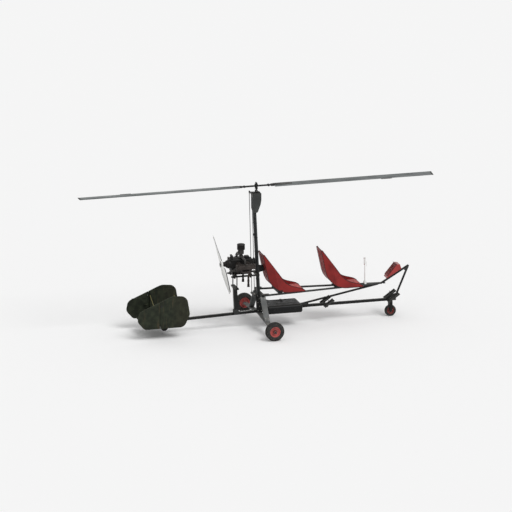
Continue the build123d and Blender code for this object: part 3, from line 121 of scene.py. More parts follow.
class Tree:
    """The shader nodes of one material or of the sky."""

    def __init__(self, owner: bpy.types.Material | bpy.types.World) -> None:
        """Starts with the owner's standard nodes."""
        owner.use_nodes = True
        self.nodes, self.links = owner.node_tree.nodes, owner.node_tree.links

    def add(self, kind: str, settings: dict, inputs: dict, output: Any = 0) -> Wire:
        """Adds one node.

        Args:
            kind: The node's type.
            settings: Its settings, set first. "stops" are a ramp's first colour, its
                inner places and colours, and its last colour.
            inputs: Values or wires of its sockets, by name or number.
            output: The output that is wanted, by name or number.

        Returns:
            That output.
        """
        node = self.nodes.new(kind)
        first, *inner, last = settings.pop("stops", (None, None))
        if last:
            ends = node.color_ramp.elements
            ends[0].color, ends[1].color = tint(first), tint(last)
            for place, colour in inner:
                ends.new(place).color = tint(colour)
        for key, value in settings.items():
            setattr(node, key, value)
        self.feed(node, inputs)
        return Wire(self, node.outputs[output])

    def feed(self, node: bpy.types.Node, inputs: dict) -> None:
        """Sets a node's sockets to values, or links wires to them."""
        for key, value in inputs.items():
            if isinstance(value, Wire):
                self.links.new(value.socket, node.inputs[key])
            else:
                node.inputs[key].default_value = value

    def math(self, operation: str, *values: Any) -> Wire:
        """Adds one Math node."""
        return self.add("ShaderNodeMath", {"operation": operation}, dict(enumerate(values)))

    @cached_property
    def here(self) -> Wire:
        """Object coordinates."""
        return self.add("ShaderNodeTexCoord", {}, {}, "Object")

    def place(self, scale: Point = (1, 1, 1), turn: Point = (0, 0, 0), move: Point = (0, 0, 0)) -> Wire:
        """Object coordinates, scaled, turned and moved."""
        return self.add("ShaderNodeMapping", {}, {"Vector": self.here, "Location": move,
                                                  "Rotation": turn, "Scale": scale})

    def axis(self, letter: str, where: Wire | None = None) -> Wire:
        """One coordinate by its letter, X, Y or Z."""
        return self.add("ShaderNodeSeparateXYZ", {}, {0: where or self.here}, letter)

    def noise(self, scale: float, detail: float = 3.0, where: Wire | None = None) -> Wire:
        """Smooth noise from 0 to 1."""
        return self.add("ShaderNodeTexNoise", {},
                        {"Vector": where or self.here, "Scale": scale, "Detail": detail})

    def patches(self, scale: float, detail: float, low: float, high: float,
                where: Wire | None = None) -> Wire:
        """Soft patches: 0 where noise is under low, 1 where it is over high."""
        return self.between(self.noise(scale, detail, where), low, high)

    def cells(self, where: Wire, scale: float, feature: str = "F1") -> Wire:
        """Distance in a cell pattern."""
        return self.add("ShaderNodeTexVoronoi", {"feature": feature},
                        {"Vector": where, "Scale": scale}, "Distance")

    def bands(self, where: Wire, direction: str, scale: float, warp: float = 0.0) -> Wire:
        """Even waves across one direction."""
        return self.add("ShaderNodeTexWave", {"wave_type": "BANDS", "bands_direction": direction},
                        {"Vector": where, "Scale": scale, "Distortion": warp}, "Fac")

    def between(self, value: Wire, low: float, high: float) -> Wire:
        """A soft step: 0 under low, 1 over high."""
        return self.add("ShaderNodeMapRange", {"interpolation_type": "SMOOTHSTEP"},
                        {"Value": value, "From Min": low, "From Max": high})

    def mix(self, share: Wire, first: Colour | Wire, second: Colour | Wire) -> Wire:
        """Mixes two colours, given as on a screen or as wires."""
        sides = {6 + count: side if isinstance(side, Wire) else tint(side)
                 for count, side in enumerate((first, second))}
        return self.add("ShaderNodeMix", {"data_type": "RGBA"}, {0: share, **sides}, 2)

    def facing(self) -> Wire:
        """The surface's direction."""
        return self.add("ShaderNodeNewGeometry", {}, {}, "Normal")

    def upward(self, low: float, high: float) -> Wire:
        """Mask of the surfaces that face up."""
        return self.between(self.axis("Z", self.facing()), low, high)

    def edges(self, radius: float) -> Wire:
        """Mask of the outer and inner edges within a radius."""
        rounded = self.add("ShaderNodeBevel", {"samples": 4}, {"Radius": radius})
        same = self.add("ShaderNodeVectorMath", {"operation": "DOT_PRODUCT"},
                        {0: rounded, 1: self.facing()}, "Value")
        return self.between(1 - same, 0.01, 0.16)

    def surface(self, colour: Wire, roughness: Any, height: Wire, depth: float, **levels: Any) -> None:
        """Connects the surface shader.

        Args:
            colour: The base colour.
            roughness: The roughness.
            height: The pattern that raises the surface.
            depth: How far it is raised at most.
            levels: Other sockets, named in lower case with underscores.
        """
        names = {key.replace("_", " ").title().replace("Ior", "IOR"): value
                 for key, value in levels.items()}
        bump = self.add("ShaderNodeBump", {}, {"Height": height, "Distance": depth, "Strength": 0.9})
        self.feed(self.nodes["Principled BSDF"],
                  {"Base Color": colour, "Roughness": roughness, "Normal": bump, **names})


@dataclass(frozen=True)
class Finish:
    """A surface finish, made into a material once and shared by the pieces that wear it."""

    name: str
    built: ClassVar[dict[str, bpy.types.Material]] = {}

    def material(self) -> bpy.types.Material:
        """The finish's material."""
        if self.name not in self.built:
            self.built[self.name] = bpy.data.materials.new(self.name)
            self.dress(Tree(self.built[self.name]))
        return self.built[self.name]

    def dress(self, tree: Tree) -> None:
        """Adds the finish's nodes."""
        raise NotImplementedError


@dataclass(frozen=True)
class Coating(Finish):
    """Painted metal or moulded plastic: clouded colour, dust on top, grime and worn edges."""

    colour: Colour
    shade: Colour
    worn: Colour = (148, 148, 148)
    wear: float = 0.5
    wear_radius: float = 0.004
    dust: float = 0.25
    roughness: float = 0.5
    coat: float = 0.0
    grain: float = 260.0
    depth: float = 0.0004

    def dress(self, tree: Tree) -> None:
        """Adds the clouds, dust, worn edges and fine grain."""
        speck = tree.noise(70.0, 4.0)
        colour = tree.mix(tree.patches(5.0, 6.0, 0.36, 0.64) * 0.65 + speck * 0.35, self.shade, self.colour)
        settled = tree.upward(0.35, 0.95) * tree.patches(14.0, 5.0, 0.3, 0.75)
        colour = tree.mix(settled * self.dust, colour, (150, 143, 130))
        bare = tree.edges(self.wear_radius) * tree.patches(38.0, 5.0, 0.42, 0.62) * self.wear
        tree.surface(tree.mix(bare, colour, self.worn),
                     self.roughness + settled * 0.25 + (speck - 0.5) * 0.2,
                     tree.noise(self.grain, 2.0), self.depth, metallic=bare * 0.8,
                     specular_ior_level=0.2, coat_weight=self.coat, coat_roughness=0.12)


@dataclass(frozen=True)
class Brushed(Finish):
    """Bare drawn or machined metal with fine lines along one axis, dulled and stained."""

    colour: Colour
    stain: Colour
    along: Point = (1.0, 14.0, 14.0)
    roughness: float = 0.38
    metallic: float = 0.85

    def dress(self, tree: Tree) -> None:
        """Adds the drawn lines and stains."""
        lines = tree.noise(26.0, 5.0, tree.place(self.along))
        blotch = tree.patches(6.0, 6.0, 0.42, 0.7)
        tree.surface(tree.mix(lines * 0.5 + blotch * 0.5, self.colour, self.stain),
                     self.roughness + lines * 0.15 + blotch * 0.2, lines, 0.0002,
                     metallic=self.metallic - blotch * 0.3)


@dataclass(frozen=True)
class Casting(Finish):
    """Sand-cast alloy, pitted and oily, browner where heat and oil have baked on."""

    colour: Colour
    baked: Colour
    roughness: float = 0.55

    def dress(self, tree: Tree) -> None:
        """Adds the sand texture, baked oil and rubbed edges."""
        sand = tree.noise(420.0)
        oil = tree.patches(9.0, 7.0, 0.4, 0.68)
        drips = tree.patches(3.0, 5.0, 0.5, 0.72, tree.place((9.0, 9.0, 1.4)))
        colour = tree.mix(oil * 0.6 + drips * 0.4, self.colour, self.baked)
        rubbed = tree.edges(0.004) * tree.between(sand, 0.35, 0.6)
        tree.surface(tree.mix(rubbed * 0.3, colour, (116, 112, 106)),
                     self.roughness - oil * 0.12 + (sand - 0.5) * 0.3, sand, 0.0007,
                     metallic=0.2 - oil * 0.15 + rubbed * 0.3, specular_ior_level=0.2)


@dataclass(frozen=True)
class HeatedSteel(Finish):
    """Exhaust steel, tinted straw and blue near the ports and rusty further down."""

    hot_height: float
    cool_height: float

    def dress(self, tree: Tree) -> None:
        """Adds the heat tints down the pipe and the rust bloom."""
        down = 1 - tree.between(tree.axis("Z") + tree.noise(12.0) * 0.05, self.cool_height, self.hot_height)
        stops = ((52, 48, 50), (0.18, (62, 50, 42)), (0.4, (52, 46, 42)), (0.75, (42, 38, 35)),
                 (28, 26, 25))
        heat = tree.add("ShaderNodeValToRGB", {"stops": stops}, {"Fac": down}, "Color")
        rust = tree.patches(55.0, 8.0, 0.5, 0.7)
        tree.surface(tree.mix(rust * 0.5, heat, (62, 42, 32)), 0.38 + rust * 0.45, tree.noise(240.0, 4.0),
                     0.0004, metallic=0.7 - rust * 0.6)


@dataclass(frozen=True)
class Rubber(Finish):
    """Tyre rubber: near black, dusty in its grooves, greyed on the tread."""

    dust: float = 0.4

    def dress(self, tree: Tree) -> None:
        """Adds the dust and the fine moulded grain."""
        fine = tree.noise(320.0)
        colour = tree.mix(tree.patches(16.0, 6.0, 0.35, 0.7) * 0.6 + fine * 0.4, (26, 26, 27), (52, 51, 50))
        colour = tree.mix(tree.patches(42.0, 5.0, 0.48, 0.75) * self.dust, colour, (104, 97, 86))
        tree.surface(colour, 0.72 + fine * 0.2, fine, 0.0004, specular_ior_level=0.3)


@dataclass(frozen=True)
class Shell(Finish):
    """Moulded seat shell: deep red gel coat, with painted light that makes its upward faces paler in
    patches, and darker at its edges.
    """

    colour: Colour
    shade: Colour
    edge: Colour

    def dress(self, tree: Tree) -> None:
        """Adds the mottled gel coat, fine scratches, painted light on upward faces and dark edges."""
        scratch = tree.patches(9.0, 6.0, 0.62, 0.74, tree.place((3.0, 3.0, 46.0), (0.3, 0.2, 0.0)))
        # painted light: marks patches of the upward faces, which light from above brightens, to be made
        # paler
        painted_top_light = tree.upward(0.2, 0.9) * tree.patches(11.0, 5.0, 0.3, 0.7)
        colour = tree.mix(tree.patches(4.0, 6.0, 0.34, 0.66), self.shade, self.colour)
        # scratches turn the gel coat pale red; the same pale red on upward faces is painted light
        colour = tree.mix(scratch * 0.2 + painted_top_light * 0.1, colour, (178, 96, 90))
        tree.surface(tree.mix(tree.edges(0.007) * 0.75, colour, self.edge),
                     0.5 + scratch * 0.2 + painted_top_light * 0.15, tree.noise(22.0, 2.0), 0.0006,
                     specular_ior_level=0.22, coat_weight=0.05, coat_roughness=0.3)


@dataclass(frozen=True)
class Upholstery(Finish):
    """Seat vinyl: leather-grained, faded on its crowns, darker along a network of creases."""

    colour: Colour
    shade: Colour
    grain: float = 300.0

    def dress(self, tree: Tree) -> None:
        """Adds the grain, the fading and the creases."""
        grain = tree.cells(tree.here, self.grain)
        crease = tree.cells(tree.place((1.0, 1.6, 1.0)), 26.0, "DISTANCE_TO_EDGE")
        fade = tree.patches(7.0, 6.0, 0.35, 0.68)
        # darker along the lines of the crease pattern
        crease_dark = 1 - tree.between(crease, 0.0, 0.06)
        colour = tree.mix(fade * 0.8 + grain * 0.3, self.shade, self.colour)
        tree.surface(tree.mix(crease_dark * 0.25, colour, (52, 18, 18)), 0.48 + fade * 0.12 + grain * 0.2,
                     grain - crease_dark * 0.5, 0.0006, sheen_weight=0.05, specular_ior_level=0.25)


@dataclass(frozen=True)
class PleatedFilter(Finish):
    """Air filter: oiled pleats behind a diamond wire mesh, round one upright axis."""

    centre: Point

    def dress(self, tree: Tree) -> None:
        """Adds the pleats and the wire, which follow the angle round the axis."""
        local = tree.place(move=(-self.centre[0], -self.centre[1], 0.0))
        angle = tree.math("ARCTAN2", tree.axis("Y", local), tree.axis("X", local))
        wires = [tree.between(tree.math("SINE", angle * 48.0 + tree.axis("Z", local) * slope), 0.78, 0.95)
                 for slope in (620.0, -620.0)]
        mesh = tree.math("MAXIMUM", *wires)
        cloth = tree.mix(tree.patches(14.0, 5.0, 0.4, 0.7), (25, 23, 22), (14, 13, 13))
        tree.surface(tree.mix(mesh, cloth, (46, 44, 43)), 0.8 - mesh * 0.3,
                     tree.math("SINE", angle * 60.0) * 0.5 + mesh, 0.0012, metallic=mesh * 0.4,
                     specular_ior_level=0.15)


@dataclass(frozen=True)
class Laminate(Finish):
    """Propeller blades: pale lacquered laminations with a dark sheath along the edges."""

    pose: float

    def dress(self, tree: Tree) -> None:
        """Adds the laminations along the blades and the chipped edges."""
        turn = (self.pose, 0.0, 0.0)
        layers = tree.bands(tree.place(turn=turn), "Y", 34.0, 1.5)
        figure = tree.noise(22.0, 5.0, tree.place((12.0, 12.0, 2.0), turn))
        colour = tree.mix(layers * 0.5 + figure * 0.5, (204, 204, 201), (226, 226, 224))
        tree.surface(tree.mix(tree.edges(0.007) * 0.8, colour, (58, 58, 58)), 0.42 + figure * 0.2, figure,
                     0.0003, coat_weight=0.3, coat_roughness=0.2)


@dataclass(frozen=True)
class RotorSkin(Finish):
    """Extruded rotor blade: grey skin with long draw lines and insect specks."""

    colour: Colour
    shade: Colour

    def dress(self, tree: Tree) -> None:
        """Adds the draw lines, patches of dirt and specks."""
        drawn = tree.noise(8.0, 5.0, tree.place((0.5, 60.0, 60.0)))
        dirt = tree.patches(2.4, 6.0, 0.38, 0.66, tree.place((1.0, 5.0, 5.0)))
        colour = tree.mix(drawn * 0.4 + dirt * 0.6, self.colour, self.shade)
        tree.surface(tree.mix(tree.patches(130.0, 4.0, 0.58, 0.68) * 0.4, colour, (52, 50, 46)),
                     0.4 + dirt * 0.2 + drawn * 0.1, drawn, 0.0002, metallic=0.25)


@dataclass(frozen=True)
class WeatheredPanel(Finish):
    """Fins and rudders: dark olive paint with brown streaks run down it, rusty at the front edge."""

    front_x: float
    fade_x: float

    def dress(self, tree: Tree) -> None:
        """Adds the streaks, the rusty front edge, a painted highlight along upward-facing edges and the
        fabric grain.
        """
        run = tree.noise(2.2, 6.0, tree.place((16.0, 16.0, 1.1)))
        fine_run = tree.noise(2.6, 4.0, tree.place((60.0, 60.0, 3.0)))
        streaks = tree.between(run * 0.7 + fine_run * 0.3, 0.57, 0.69)
        front = tree.between(tree.axis("X") + tree.noise(9.0, 4.0) * 0.22, self.fade_x, self.front_x)
        colour = tree.mix(tree.patches(9.0, 7.0, 0.35, 0.68), (30, 34, 26), (45, 50, 38))
        colour = tree.mix(streaks * 0.4, colour, (96, 82, 62))
        colour = tree.mix(front * 0.15, colour, (58, 45, 34))
        # painted highlight: edges that face upward are made paler, as if catching the light
        colour = tree.mix(tree.edges(0.004) * tree.upward(0.0, 0.6) * 0.6, colour, (120, 118, 98))
        weave = tree.bands(tree.here, "X", 190.0) * 0.5 + tree.bands(tree.here, "Z", 190.0) * 0.5
        tree.surface(colour, 0.66 + streaks * 0.2, weave * 0.3 + fine_run, 0.0004, specular_ior_level=0.15)


@dataclass(frozen=True)
class GripPlate(Finish):
    """Foot plate with a raised bar tread, scuffed pale by shoes."""

    colour: Colour

    def dress(self, tree: Tree) -> None:
        """Adds the tread bars and the scuffs."""
        bars = [tree.bands(tree.place(turn=(0, 0, turn)), "X", 28.0) for turn in (0.785, -0.785)]
        raised = tree.between(bars[0] * bars[1], 0.55, 0.8)
        scuff = tree.patches(24.0, 6.0, 0.4, 0.65)
        colour = tree.mix(scuff * 0.5, self.colour, (78, 78, 76))
        colour = tree.mix(tree.edges(0.004) * 0.5, colour, (120, 120, 116))
        tree.surface(tree.mix(raised * 0.3, colour, (92, 92, 90)),
                     0.5 - raised * 0.12 + scuff * 0.2, raised, 0.0012, metallic=0.2,
                     specular_ior_level=0.25)


class Finishes:
    """The finishes that this aircraft wears."""

    BLACK_FRAME = Coating("black_frame", (27, 28, 28), (17, 18, 18), (84, 84, 82), 0.4, dust=0.15)
    MAST = Coating("mast_paint", (50, 53, 54), (34, 36, 37), (110, 110, 108), 0.45, dust=0.15)
    RAILS = Coating("rail_paint", (56, 57, 57), (36, 37, 37), (140, 140, 136), 0.6)
    # painted reflection: this light grey is how the gear's dark glossy paint looks on its lit faces, not
    # its own colour
    GEAR_GREY = Coating("gear_paint", (100, 102, 102), (70, 72, 72), (158, 158, 154), roughness=0.45)
    DOUBLER = Brushed("bare_doubler", (150, 150, 148), (96, 96, 94))
    FAIRING = Coating("fairing_plastic", (63, 65, 64), (50, 52, 51), (112, 112, 110), 0.35,
                      roughness=0.58, depth=0.0006)
    HEAD = Coating("head_paint", (27, 28, 29), (17, 18, 19), (96, 94, 90), 0.4, dust=0.12)
    TANK = Coating("tank_plastic", (18, 19, 19), (11, 12, 12), (46, 46, 44), 0.2, dust=0.05,
                   roughness=0.40, depth=0.0005, grain=160.0)
    SEAT = Shell("seat_shell", (138, 36, 34), (116, 29, 28), (66, 18, 20))
    # painted light: the pad's brighter red is the seat's red as lit inside the bucket, with the shell's red
    # as its second tone
    PAD = Upholstery("seat_pad", (186, 84, 80), (138, 52, 50))
    PIPING = Upholstery("seat_piping", (62, 20, 22), (40, 14, 16), 500.0)
    TYRE = Rubber("tyre_rubber")
    HARD_RUBBER = Rubber("hard_rubber", 0.15)
    RIM = Coating("rim_paint", (196, 98, 94), (164, 76, 73), (150, 146, 140), 0.4,
                  wear_radius=0.003, roughness=0.45)
    # painted shade: the same red rim paint as the main wheels, darkened for the nose wheel
    NOSE_RIM = Coating("nose_rim_paint", (146, 56, 53), (112, 42, 40), (130, 110, 104), 0.4,
                       wear_radius=0.003, roughness=0.45)
    ENGINE = Casting("engine_casting", (27, 26, 25), (18, 15, 14))
    HEADS = Casting("head_casting", (62, 56, 53), (34, 27, 25))
    MACHINED = Brushed("machined_alloy", (58, 56, 54), (30, 28, 26), metallic=0.5)
    EXHAUST = HeatedSteel("exhaust_steel", 1.30, 0.86)
    BOLT = Brushed("bolt_steel", (146, 144, 140), (84, 78, 70), (1.0, 1.0, 1.0))
    BLACK_BOLT = Brushed("black_bolt", (30, 30, 30), (18, 17, 16), (1.0, 1.0, 1.0), 0.55, 0.4)
    FILTER = PleatedFilter("filter_pleats", (-0.318, 0.0, 0.0))
    PROP = Laminate("propeller_laminate", math.radians(55.0))
    BLADE = RotorSkin("rotor_blade", (104, 108, 108), (82, 86, 86))
    FIN = WeatheredPanel("fin_paint", -1.55, -1.86)
    STAY = Coating("stay_paint", (120, 112, 66), (84, 80, 50), (146, 140, 118), 0.4)
    POD = Coating("pod_paint", (158, 50, 47), (128, 38, 38), (186, 120, 112), roughness=0.34, coat=0.4)
    POD_TOP = Coating("pod_cover", (96, 32, 36), (74, 26, 30), (150, 92, 90), 0.4)
    PANEL = Coating("panel_black", (30, 30, 31), (20, 20, 21), (80, 80, 78), 0.3, roughness=0.6)
    FACE = Coating("face_paint", (128, 46, 44), (104, 38, 38), (160, 100, 96), 0.3)
    DIAL = Coating("dial_paint", (92, 34, 34), (74, 28, 28), wear=0.0, dust=0.0, roughness=0.6)
    IVORY = Coating("dial_marks", (196, 150, 140), (176, 130, 122), wear=0.0, dust=0.0)
    AMBER = Coating("needle_paint", (214, 120, 44), (196, 98, 36), wear=0.0, dust=0.0)
    PALE_TUBE = Coating("stick_paint", (232, 232, 230), (214, 214, 211), (150, 150, 148), 0.2)
    FOOT = GripPlate("foot_plate_tread", (38, 39, 38))
    RED_PLASTIC = Coating("button_red", (164, 44, 42), (128, 34, 34), (196, 120, 116), 0.3, roughness=0.35)
    CABLE = Coating("cable_jacket", (28, 28, 29), (18, 18, 19), wear=0.0, roughness=0.6)
    WELD = Casting("weld_bead", (70, 70, 68), (46, 42, 38), 0.6)
    NODES = {
        BLACK_FRAME: "keel_rear keel_front mast_plates crossbar belly_brace nose_tubes engine_post "
                     "engine_bed seat_brackets nose_fork tail_wheel_bracket",
        MAST: "mast", RAILS: "seat_rails push_rods", GEAR_GREY: "axle_beam gear_legs",
        RIM: "rim_left rim_right", NOSE_RIM: "nose_rim", HARD_RUBBER: "tail_wheel", TANK: "fuel_tank",
        ENGINE: "engine_case gearbox", HEADS: "cylinders", MACHINED: "intake", EXHAUST: "exhausts",
        FILTER: "air_filter", PROP: "propeller", FAIRING: "head_fairing",
        HEAD: "rotor_head teeter_tower hub_bar", BLADE: "rotor_blades",
        FIN: "fins rudder_left rudder_right tailplane", STAY: "tail_stays", PALE_TUBE: "control_stick",
        FOOT: "foot_plates", POD: "instrument_pod", FACE: "instrument_face", SEAT: "front_seat rear_seat",
    }


def stand(at: Point, way: Point) -> Matrix:
    """A placement at a point whose own Z lies along a direction."""
    return Matrix.Translation(at) @ Vector(way).to_track_quat("Z", "Y").to_matrix().to_4x4()


def lean(angle: float, at: Point = (0, 0, 0)) -> Matrix:
    """A placement at a point whose own X points up from forward by an angle in radians."""
    return Matrix.Translation(at) @ Matrix.Rotation(-angle, 4, "Y")


def arc(first: tuple[float, float], middle: tuple[float, float], last: tuple[float, float],
        count: int) -> Profile:
    """Points on the circle through three points of a profile, ends included."""
    a, b, c = (complex(*point) for point in (first, middle, last))
    ratio = (c - a) / (b - a)
    centre = a + (b - a) * (ratio - abs(ratio) ** 2) / (2j * ratio.imag)
    start, through, end = (math.atan2((p - centre).imag, (p - centre).real) for p in (a, b, c))
    if not min(start, end) <= through <= max(start, end):
        end += math.tau if end < start else -math.tau
    angles = [start + (end - start) * step / (count - 1) for step in range(count)]
    reach = abs(a - centre)
    return [(centre.real + reach * math.cos(angle), centre.imag + reach * math.sin(angle))
            for angle in angles]


def make_piece(name: str, mesh: bpy.types.Mesh, finish: Finish, slot: str, body: str = "airframe",
               sharp: float = 32.0) -> bpy.types.Object:
    """Makes a piece of a mesh, gives it a finish and lets it ride.

    Args:
        name: The piece's name.
        mesh: Its mesh.
        finish: Its surface finish.
        slot: The record's material slot that its finish stands for; not used.
        body: The body that it rides on.
        sharp: The angle in degrees over which an edge stays sharp.

    Returns:
        The piece's object.
    """
    mesh.polygons.foreach_set("use_smooth", [True] * len(mesh.polygons))
    mesh.set_sharp_from_angle(angle=math.radians(sharp))
    mesh.materials.clear()
    mesh.materials.append(finish.material())
    made = bpy.data.objects.new(name, mesh)
    bpy.context.scene.collection.objects.link(made)
    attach(made, body)
    log.info("%s: %d faces", name, len(mesh.polygons))
    return made


def make_tubes(name: str, runs: Iterable[Sequence[Point]], radius: float, *dress: Any) -> None:
    """Makes a piece of round tubes along smooth lines.

    Args:
        name: The piece's name.
        runs: The control points of each line.
        radius: The tubes' radius.
        dress: The piece's finish, slot and, if it isn't the airframe, body.
    """
    curve = bpy.data.curves.new(name, "CURVE")
    curve.dimensions, curve.bevel_depth, curve.bevel_resolution = "3D", radius, 3
    curve.use_fill_caps, curve.resolution_u = True, 8
    for points in runs:
        spline = curve.splines.new("NURBS")
        spline.points.add(len(points) - 1)
        for slot, point in zip(spline.points, points):
            slot.co = (*point, 1.0)
        spline.order_u, spline.use_endpoint_u = 3, True
    line = bpy.data.objects.new(name, curve)
    mesh = bpy.data.meshes.new_from_object(line)
    bpy.data.objects.remove(line)
    bpy.data.curves.remove(curve)
    make_piece(name, mesh, *dress)


class Shape:
    """A mesh in the making, built up from boxes, bars, fasteners and turned shapes."""

    def __init__(self) -> None:
        """Starts empty."""
        self.bm = bmesh.new()

    def box(self, low: Point, high: Point, bevel: float = 0.0, where: Matrix | None = None) -> None:
        """Adds a box between two corners, its edges bevelled if asked, placed by a matrix."""
        size = Vector(high) - Vector(low)
        made = bmesh.ops.create_cube(self.bm, size=1.0)["verts"]
        shape = Matrix.Translation(Vector(low) + size / 2) @ Matrix.Diagonal((*size, 1.0))
        bmesh.ops.transform(self.bm, matrix=(where or Matrix.Identity(4)) @ shape, verts=made)
        if bevel:
            self.bevel(dict.fromkeys(edge for vert in made for edge in vert.link_edges), bevel, 2)

    def block(self, middle: Point, half: Point, bevel: float = 0.0, where: Matrix | None = None) -> None:
        """Adds a box by its middle and its half sizes."""
        self.box(Vector(middle) - Vector(half), Vector(middle) + Vector(half), bevel, where)

    def bevel(self, edges: Iterable[bmesh.types.BMEdge], width: float, segments: int) -> None:
        """Bevels edges."""
        bmesh.ops.bevel(self.bm, geom=list(edges), offset=width, offset_type="OFFSET", affect="EDGES",
                        segments=segments, profile=0.5, material=-1)

    def rod(self, start: Point, end: Point, radius: float, sides: int = 20,
            end_radius: float | None = None) -> None:
        """Adds a round or many-sided bar between two points."""
        first, last = Vector(start), Vector(end)
        bmesh.ops.create_cone(self.bm, cap_ends=True, segments=sides, radius1=radius,
                              radius2=radius if end_radius is None else end_radius,
                              depth=(last - first).length, matrix=stand((first + last) / 2, last - first))

    def bolts(self, way: Vector, radius: float, height: float, *places: Point) -> None:
        """Adds washers with hexagon heads that stand on a surface at some points."""
        way = way.normalized()
        for start in map(Vector, places):
            self.rod(start - way * 0.001, start + way * height * 0.25, radius * 1.45, 14)
            self.rod(start, start + way * height, radius, 6)

    def rivets(self, way: Vector, radius: float, *places: Point) -> None:
        """Adds low domed rivet heads."""
        for start in map(Vector, places):
            self.rod(start - way * 0.0005, start + way * radius * 0.5, radius, 10, radius * 0.55)

    def turned(self, at: Point, way: Point, profile: Profile, steps: int = 48,
               closed: bool = False) -> None:
        """Spins a profile about an axis.

        Args:
            at: The origin of the axis.
            way: The axis.
            profile: Points of (distance along the axis, radius).
            steps: Steps of the full turn.
            closed: Whether the profile's last point joins its first.
        """
        before = set(self.bm.verts)
        verts = [self.bm.verts.new((radius, 0.0, distance)) for distance, radius in profile]
        pairs = list(zip(verts, verts[1:])) + ([(verts[-1], verts[0])] if closed else [])
        edges = [self.bm.edges.new(pair) for pair in pairs]
        bmesh.ops.spin(self.bm, geom=verts + edges, cent=(0, 0, 0), axis=(0, 0, 1), angle=math.tau,
                       steps=steps, use_merge=True, use_duplicate=False)
        bmesh.ops.remove_doubles(self.bm, verts=[v for v in self.bm.verts if v not in before],
                                 dist=1e-5)
        bmesh.ops.transform(self.bm, matrix=stand(at, way),
                            verts=[v for v in self.bm.verts if v not in before])

    def piece(self, name: str, *dress: Any) -> bpy.types.Object:
        """Makes a piece of the mesh, with its finish and, if it isn't the airframe, its body."""
        bmesh.ops.recalc_face_normals(self.bm, faces=self.bm.faces)
        mesh = bpy.data.meshes.new(name)
        self.bm.to_mesh(mesh)
        self.bm.free()
        return make_piece(name, mesh, *dress)


def circle(x: float, z: float, radius: float, count: int, turn: float) -> list[Point]:
    """Points round a circle about the X axis, at x and round height z."""
    angles = (math.tau * step / count + turn for step in range(count))
    return [(x, radius * math.cos(angle), z + radius * math.sin(angle)) for angle in angles]


@dataclass
class Wheel:
    """A tyre with tread, and the small pieces of its rim."""

    name: str
    body: str
    tyre_node: str
    centre: Point
    outward: int
    radius: float
    width: float
    bead: tuple[float, float]
    web: float
    bolt_ring: float
    hub_radii: tuple[float, float]
    hub_face: float
    segments: int = 72
    groove_depth: float = 0.004

    def profile(self) -> Profile:
        """The tyre's closed section: bead, bulging walls and a grooved tread."""
        tread = self.width * 0.28
        wall = arc(self.bead, (self.width / 2, (self.radius + self.bead[1]) / 2), (tread, self.radius), 13)
        raised = [(d + (0.0012 if step in (2, 3, 8) else 0.0), r) for step, (d, r) in enumerate(wall)]
        half, bottom = self.width * 0.017, self.radius - self.groove_depth
        grooves = [(middle + half * share, level) for middle in (tread * 0.52, 0.0, -tread * 0.52)
                   for share, level in ((1.3, self.radius), (1, bottom), (-1, bottom), (-1.3, self.radius))]
        return raised + grooves + [(-d, r) for d, r in reversed(raised)]

    def build_tyre(self) -> None:
        """Spins the tyre, then sinks the shoulder blocks and the sipes of the tread."""
        tyre = Shape()
        tyre.turned(self.centre, Y * self.outward, self.profile(), self.segments, closed=True)
        shoulder, crown = [], []
        for face in tyre.bm.faces:
            middle = face.calc_center_median() - Vector(self.centre)
            reach = math.hypot(middle.x, middle.z)
            turn = int((math.atan2(middle.z, middle.x) + math.pi) / math.tau * self.segments)
            off = abs(middle.y) / self.width
            if 0.30 < off < 0.46 and reach > self.radius * 0.9 and turn % 2 == 0:
                shoulder.append(face)
            elif off < 0.27 and reach > self.radius - self.groove_depth / 2 and turn % 3 == 0:
                crown.append(face)
        for faces, depth in ((shoulder, -0.003), (crown, -0.0022)):
            bmesh.ops.inset_individual(tyre.bm, faces=faces, thickness=0.0016, depth=depth)
        tread = tyre.piece(f"{self.name}_tread", Finishes.TYRE, "tyre_rubber", self.body)
        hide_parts(self.tyre_node)

    def build_rim_details(self) -> None:
        """Adds the web's bolts on both sides, the valve and the black hub ring."""
        out, centre = Y * self.outward, Vector(self.centre)
        bolts, valve, ring = Shape(), Shape(), Shape()
        for count, sign in product(range(5), (1, -1)):
            angle = math.tau * count / 5 + 0.3
            spoke = (X * math.cos(angle) + Z * math.sin(angle)) * self.bolt_ring
            bolts.bolts(out * sign, 0.006, 0.006, centre + spoke + out * sign * self.web)
        stem, reach = centre + Z * (self.bolt_ring * 1.32), self.web + 0.022
        valve.rod(stem + out * self.web * 0.6, stem + out * reach, 0.0042, 12)
        valve.rod(stem + out * reach, stem + out * (reach + 0.008), 0.0052, 12, 0.004)
        face, (inner, outer) = self.hub_face, self.hub_radii
        ring.turned(centre, out, [(face - 0.026, outer - 0.004), (face - 0.004, outer),
                                  (face + 0.0015, outer - 0.003), (face + 0.0015, inner),
                                  (face - 0.026, inner)], 40, closed=True)
        bolts.piece(f"{self.name}_web_bolts", Finishes.BOLT, "rim_red", self.body)
        valve.piece(f"{self.name}_valve", Finishes.HARD_RUBBER, "tyre_rubber", self.body)
        ring.piece(f"{self.name}_hub_ring", Finishes.HARD_RUBBER, "tyre_rubber", self.body)

    def build(self) -> None:
        """Builds the wheel's pieces."""
        self.build_tyre()
        self.build_rim_details()


